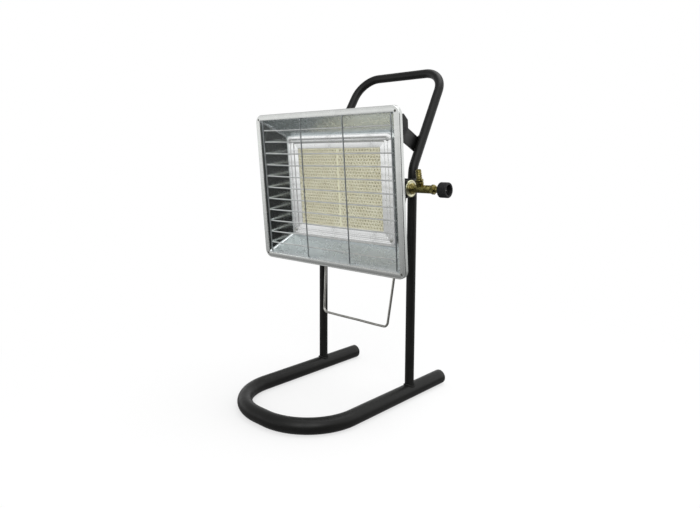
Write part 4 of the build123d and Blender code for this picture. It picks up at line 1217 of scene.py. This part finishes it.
def build_hose_tail():
    """Barbed tail with a hexagon, screwed into the inlet."""
    barbs, end = 4, 30.0
    pitch = 15.0 / (barbs + 0.5)
    start = end - barbs * pitch
    nut = [(11.05, 5.2), (11.5, 6.3), (14.5, 6.3), (15.0, 5.4), (15.0, 3.7)]
    profile = [(7.0, 0.0), (7.0, 3.9), (11.05, 3.9)] + nut + [(start, 3.7)]
    for barb in range(barbs):
        profile += shifted(start + barb * pitch, [(0.05, 4.35), (0.35, 4.6)])
        profile.append((start + barb * pitch + pitch - 0.02, 3.75))
    profile += [(end, 3.5), (end, 2.4), (end - 0.4, 2.25), (20.0, 2.25), (20.0, 0.0)]
    form = lathe(Form(), inlet_place(), profile, 60, hexagon(INLET_HEX, above=5.0))
    piece("hose_tail_skin", form, BRASS, "head", ["inlet_hose_tail"], HEAD, CRISP)


def build_gland():
    """Nut that packs the spindle: a hexagon, a groove and a neck."""
    nut = shifted(VALVE_END, [(0, 0.0), (0, 6.4), (0.6, 7.5)])
    nut += shifted(GLAND_NECK_X, [(-0.6, 7.5), (0, 6.4), (0, 4.6), (0.3, 4.3), (0.9, 4.3), (1.3, 4.5)])
    nut += shifted(GLAND_END, [(-0.6, 4.5), (0, 3.9), (0, 0.0)])
    form = lathe(Form(), GAS_AXIS, nut, 60, hexagon(GLAND_HEX, above=6.0))
    head_piece("gland_nut", form, BRASS, CRISP)


def build_spindle_and_knob():
    """Spindle, fluted knob with a recess in its face, and the screw at the recess's floor."""
    floor = KNOB_END - KNOB_RECESS_DEPTH
    spindle = [(145.1, 0.0), (145.1, 2.9), (floor - 0.4, 3.0), (floor, 2.7), (floor, 0.0)]
    form = lathe(Form(), GAS_AXIS, spindle, 40)
    head_piece("valve_spindle", form, BRASS, body="knob")

    def flutes(angle, radius):
        if radius < KNOB_RADIUS - 1.7:
            return radius
        wave = abs(sin(KNOB_FLUTES * angle / 2))
        return radius - 0.42 * (1 - wave**0.8)

    hub, edge = 3.05, 1.2
    rear = ((0, 1.8), (0.25, 1.0), (edge * 0.6, 0.25), (edge, 0), (5.0, 0))
    face = ((edge, 0), (edge * 0.5, 0.2), (0.2, 0.9), (0, 1.8))
    profile = [(KNOB_X, hub)] + [(KNOB_X + run, KNOB_RADIUS - trim) for run, trim in rear]
    profile += [(KNOB_END - run, KNOB_RADIUS - trim) for run, trim in face]
    lip = ((0, 0.7), (0.2, 0.2), (0.7, 0))
    profile += [(KNOB_END - run, KNOB_RECESS + wider) for run, wider in lip]
    profile += [(floor + 0.6, KNOB_RECESS - 0.35), (floor, KNOB_RECESS - 1.0)]
    profile += shifted(floor, [(0, 4.2), (0.8, 4.0), (0.8, 3.4), (0.5, hub)])
    form = lathe(Form(), GAS_AXIS, profile, 288, flutes, hollow=True)
    head_piece("valve_knob", form, PLASTIC, FIRM, "knob")

    form = Form()
    place = Matrix.Translation(Vector((floor, GAS_DEPTH, 0))) @ Matrix.Rotation(0.5, 4, "X")
    screw(form, place, head=2.8, height=2.0, shank=1.5, length=6.0, slot=1.6)
    head_piece("knob_screw", form, SCREW_ZINC, body="knob")


# ================================================================ tilt pivots
def build_bracket(side, label):
    """Foot on the back of the housing, bent round to an ear at the pivot."""
    back = HOUSING_BACK
    narrow, wide = back + 6, PIVOT[0] + 16  # rear edge of the ear, below and at the pivot
    crest = PIVOT[1] + 25
    corners = [
        (back, FOOT_Z[0], 0),
        (narrow, FOOT_Z[0], 0),
        (narrow, PIVOT[1] - 17, 0),
        (wide, PIVOT[1], 0),
        (wide, crest - 10, 0),
        (wide - 10, crest, 0),
        (back, crest, 0),
    ]
    outline = rounded(corners, (0.6, 2.0, 3.0, 3.0, 3.0, 3.0, 3.0), closed=True, turn=12.0)
    ear = Form().join(
        plate(outline, [circle(*PIVOT, BOLT_HOLE)], BRACKET, 0.4),
        facing_x(EAR_X[0] if side > 0 else -EAR_X[1]),
    )
    low, high = sorted((side * (EAR_X[1] - FOOT_WIDTH), side * EAR_X[1]))
    bottom, top = FOOT_Z
    foot_corners = [(low, bottom, 0), (high, bottom, 0), (high, top, 0), (low, top, 0)]
    foot_outline = rounded(foot_corners, 2.0, closed=True, turn=15.0)
    upright = Matrix(((1, 0, 0), (0, 0, -1), (0, 1, 0))).to_4x4()
    place = Matrix.Translation(Vector((0, back + BRACKET, 0))) @ upright
    foot = Form().join(plate(foot_outline, [], BRACKET, 0.35), place)
    head_piece(f"tilt_bracket_{label}", combined(ear, foot), BLACK)


def build_pivots(side, label):
    """Bolt from the bracket's ear through friction washer, strap and plain washer to its nut."""
    pivot = Matrix.Translation(Vector((0, *PIVOT))) @ Matrix.Diagonal(Vector((side, 1, 1, 1)))
    shape = hexagon(PIVOT_HEX, above=4.6)
    corner = 5.77             # of its hexagons, from their middle
    pitch, root = 1.0, 2.55   # of its thread
    tip, ear = NUT_X - 2.0, EAR_X[1]
    profile = [(tip, 0.0), (tip, 2.4), (tip + 0.6, BOLT_RADIUS)]
    thread = tip + 0.8
    while thread < STRAP_X[0] - 1.4:
        profile += [(thread, BOLT_RADIUS), (thread + pitch / 2, root)]
        thread += pitch
    profile += [(STRAP_X[0] - 1.3, BOLT_RADIUS), (ear, BOLT_RADIUS), (ear, 5.0), (ear + 0.1, corner)]
    profile += shifted(ear + 4.0, [(-0.6, corner), (0, 4.7), (-0.1, 0.0)])
    form = lathe(Form(), pivot, profile, 60, shape)
    head_piece(f"pivot_bolt_{label}", form, BLACK_ZINC, CRISP)

    nut = [(0, BOLT_HOLE), (0, 4.7), (0.5, corner), (5.5, corner)]
    nut += [(PIVOT_NUT, 4.9), (PIVOT_NUT, BOLT_HOLE)]
    form = lathe(Form(), pivot, shifted(NUT_X, nut), 60, shape, hollow=True)
    head_piece(f"pivot_nut_{label}", form, BLACK_ZINC, CRISP)

    for name, x, radius, finish, slot in (
        ("pivot_washer", STRAP_X[0] - PIVOT_PLAY - PIVOT_WASHER, 7.0, BLACK_ZINC, "zinc"),
        ("friction_washer", STRAP_X[1] + PIVOT_PLAY, 10.0, FRICTION_PAD_AND_SHADE, "friction_pad"),
    ):
        half = [(0, BOLT_HOLE), (0, radius - 0.2), (0.2, radius)]
        disc = half + [(PIVOT_WASHER - run, reach) for run, reach in half[::-1]]
        form = lathe(Form(), pivot, shifted(x, disc), 56, hollow=True)
        head_piece(f"{name}_{label}", form, finish)


def build_rear_screws():
    """Screws of the tilt brackets and of the valve carrier, each turned its own way."""
    form = Form()
    margin = 8.0              # from the edges of a foot
    foot_x = EAR_X[1] - FOOT_WIDTH + margin
    heights = (FOOT_Z[0] + margin, FOOT_Z[1] - margin)
    places = [(s * foot_x, HOUSING_BACK + BRACKET, z) for s in (-1, 1) for z in heights]
    places += [(CARRIER_FOOT + margin * n, HOUSING_BACK + CARRIER, 0.0) for n in (1, 3)]
    for number, spot in enumerate(places):
        place = along(spot, (0, 1, 0), 0.7 * number)
        screw(form, place, head=3.8, height=2.4, shank=2.0, length=5.5, slot=2.1)
    head_piece("rear_screws", form, YELLOW_ZINC)


# ================================================================ wire bail
def build_bail():
    """Bent wire that hangs from pins in the posts."""
    bottom_y = -BAIL_LENGTH * sin(BAIL_LEAN)
    bottom_z = BAIL_Z - BAIL_LENGTH * cos(BAIL_LEAN)
    half = [(BAIL_PIN, 0, BAIL_Z), (BAIL_TOP, 0, BAIL_Z), (BAIL_BOTTOM, bottom_y, bottom_z)]
    corners = [(-x, y, z) for x, y, z in half] + half[::-1]
    path = divided(rounded(corners, (0, *BAIL_BENDS, *BAIL_BENDS[::-1], 0)), 8.0)
    for point in path:
        share = (BAIL_Z - point.z) / (BAIL_Z - bottom_z)
        point.x += 0.5 * share * waver((0, 0, point.z), 60.0, 1.2)
        point.z += 0.5 * share * waver((point.x, 0, 0), 45.0, 6.1)
    form = Form()
    sweep(form, path, BAIL_RADIUS, 24)
    piece("wire_bail_skin", form, BAIL_WIRE, "bail", ["wire_bail"], sharp=ROUND)


# ================================================================ stage
FLOOR_HALF = 6.0              # in metres


def ramp(tree, value, low, high, start, end):
    """Smooth change of a value between two places."""
    return map_range(tree, value, low, high, start, end, interpolation_type="SMOOTHSTEP")


def blend(tree, share, one, two):
    """A share of the way from one number to another."""
    return add_node(tree, "Mix", {"Factor": share, 2: one, 3: two})


def vector_math(tree, operation, one, two=None, output="Vector"):
    """One output of a vector operation on one or two vectors."""
    inputs = {0: one} if two is None else {0: one, 1: two}
    return add_node(tree, "VectorMath", inputs, output, operation=operation)


def room_light(tree, way):
    """How bright the room is in a direction: white at its walls, dim towards the front right,
    and with a ceiling that runs from grey at the left to white at the right."""
    front_right = Vector((0.80, -0.58, 0.02)).normalized()
    facing = vector_math(tree, "DOT_PRODUCT", way, front_right, "Value")
    walls = ramp(tree, facing, 0.30, 0.93, 1.10, 0.045)
    parts = add_node(tree, "SeparateXYZ", {0: way}, None)
    ceiling = ramp(tree, parts["X"], -0.65, 0.65, 0.50, 1.15)
    return blend(tree, ramp(tree, parts["Z"], 0.12, 0.50, 0.0, 1.0), walls, ceiling)


def build_floor():
    """Pale floor that turns into the backdrop a little way from the heater. The camera sees
    white there, and a reflection sees the room."""
    mesh = bpy.data.meshes.new("floor")
    corners = [(x * FLOOR_HALF, y * FLOOR_HALF, 0) for x, y in ((-1, -1), (1, -1), (1, 1), (-1, 1))]
    mesh.from_pydata(corners, [], [(0, 1, 2, 3)])
    floor = add_object("floor", mesh)
    material = bpy.data.materials.new("floor")
    material.use_nodes = True
    tree = material.node_tree
    shader = tree.nodes["Principled BSDF"]
    put(tree, shader, "Base Color", (0.86, 0.86, 0.86, 1))
    put(tree, shader, "Roughness", 0.9)
    put(tree, shader, "Specular IOR Level", 0.1)
    spot = add_node(tree, "TexCoord", {}, "Object")
    away = vector_math(tree, "LENGTH", spot, output="Value")
    from_head = vector_math(tree, "SUBTRACT", spot, Vector((0, HEAD_Y, HEAD_Z)) * MM)
    room = room_light(tree, vector_math(tree, "NORMALIZE", from_head))
    fade = ramp(tree, away, 0.1, 3.5, 0.25, 1.0)
    room = add_node(tree, "Math", {0: room, 1: fade}, operation="MULTIPLY")
    rays = add_node(tree, "LightPath", {}, None)
    camera, glossy = rays["Is Camera Ray"], rays["Is Glossy Ray"]
    white = add_node(tree, "Emission", {"Strength": blend(tree, camera, room, 1.0)})
    backdrop = blend(tree, camera, glossy, ramp(tree, away, 0.15, 0.75, 0.62, 1.0))
    mixed = add_node(tree, "MixShader", {"Fac": backdrop, 1: shader.outputs["BSDF"], 2: white})
    put(tree, tree.nodes["Material Output"], "Surface", mixed)
    mesh.materials.append(material)


def build_world():
    """The room beyond the floor, which the camera sees as white."""
    world = bpy.data.worlds.new("studio")
    bpy.context.scene.world = world
    world.use_nodes = True
    tree = world.node_tree
    room = room_light(tree, add_node(tree, "TexCoord", {}, "Generated"))
    camera = add_node(tree, "LightPath", {}, "Is Camera Ray")
    background = tree.nodes["Background"]
    put(tree, background, "Strength", blend(tree, camera, room, 1.0))
    put(tree, background, "Color", (1, 1, 1, 1))


def build_lamp(name, place, aim, size, power):
    """Square soft lamp. Place, aim and size are in metres."""
    lamp = bpy.data.lights.new(name, "AREA")
    lamp.shape = "RECTANGLE"
    lamp.size = lamp.size_y = size
    lamp.energy = power
    thing = add_object(name, lamp)
    thing.location = place
    thing.rotation_euler = (Vector(aim) - Vector(place)).to_track_quat("-Z", "Y").to_euler()


# ---------------------------------------------------------------- camera
CAMERA_PLACE = (658.0, -768.8, 395.3)
CAMERA_AZIMUTH = radians(43.476)
CAMERA_ELEVATION = radians(5.842)
CAMERA_ROLL = radians(0.143)
PHOTO = (700, 508)            # size of the photograph, in pixels
FOCAL = 585.8                 # in pixels of the photograph
PRINCIPAL = (335.06, 218.98)  # where the camera's axis meets it


def build_camera():
    """Camera of the photograph."""
    camera = bpy.data.cameras.new("camera")
    camera.sensor_width = 36.0
    camera.sensor_fit = "HORIZONTAL"
    camera.lens = FOCAL / PHOTO[0] * camera.sensor_width
    camera.shift_x = (PHOTO[0] / 2 - PRINCIPAL[0]) / PHOTO[0]
    camera.shift_y = (PRINCIPAL[1] - PHOTO[1] / 2) / PHOTO[0]
    camera.clip_end = 30.0
    thing = add_object("camera", camera)
    right = Vector((cos(CAMERA_AZIMUTH), sin(CAMERA_AZIMUTH), 0))
    level = cos(CAMERA_ELEVATION)
    back = Vector((sin(CAMERA_AZIMUTH) * level, -cos(CAMERA_AZIMUTH) * level, sin(CAMERA_ELEVATION)))
    up = back.cross(right)
    rolled = right * cos(CAMERA_ROLL) + up * sin(CAMERA_ROLL)
    upright = up * cos(CAMERA_ROLL) - right * sin(CAMERA_ROLL)
    turn = Matrix((rolled, upright, back)).transposed().to_4x4()
    thing.matrix_world = Matrix.Translation(Vector(CAMERA_PLACE) * MM) @ turn
    bpy.context.scene.camera = thing


# ================================================================ scene
build_camera()
build_world()
build_floor()
build_lamp("key", place=(1.4, -1.75, 1.45), aim=(0, -0.05, 0.3), size=1.8, power=23)
build_lamp("top", place=(0.2, 0.5, 2.2), aim=(0, 0, 0.3), size=1.6, power=18)
bpy.context.scene.view_settings.view_transform = "Standard"

build_base()
build_caps()
build_posts()
build_straps()
build_rim()
build_reflector()
build_guard()
build_burner_frame()
build_burner_screws()
for side, label in SIDES:
    build_plaque(side, label)
build_seam_strip()
build_gasket()
build_housing()
build_mixing_tube()
build_carrier()
build_injector()
build_washer()
build_valve_body()
build_hose_tail()
build_gland()
build_spindle_and_knob()
for side, label in SIDES:
    build_bracket(side, label)
    build_pivots(side, label)
build_rear_screws()
build_bail()
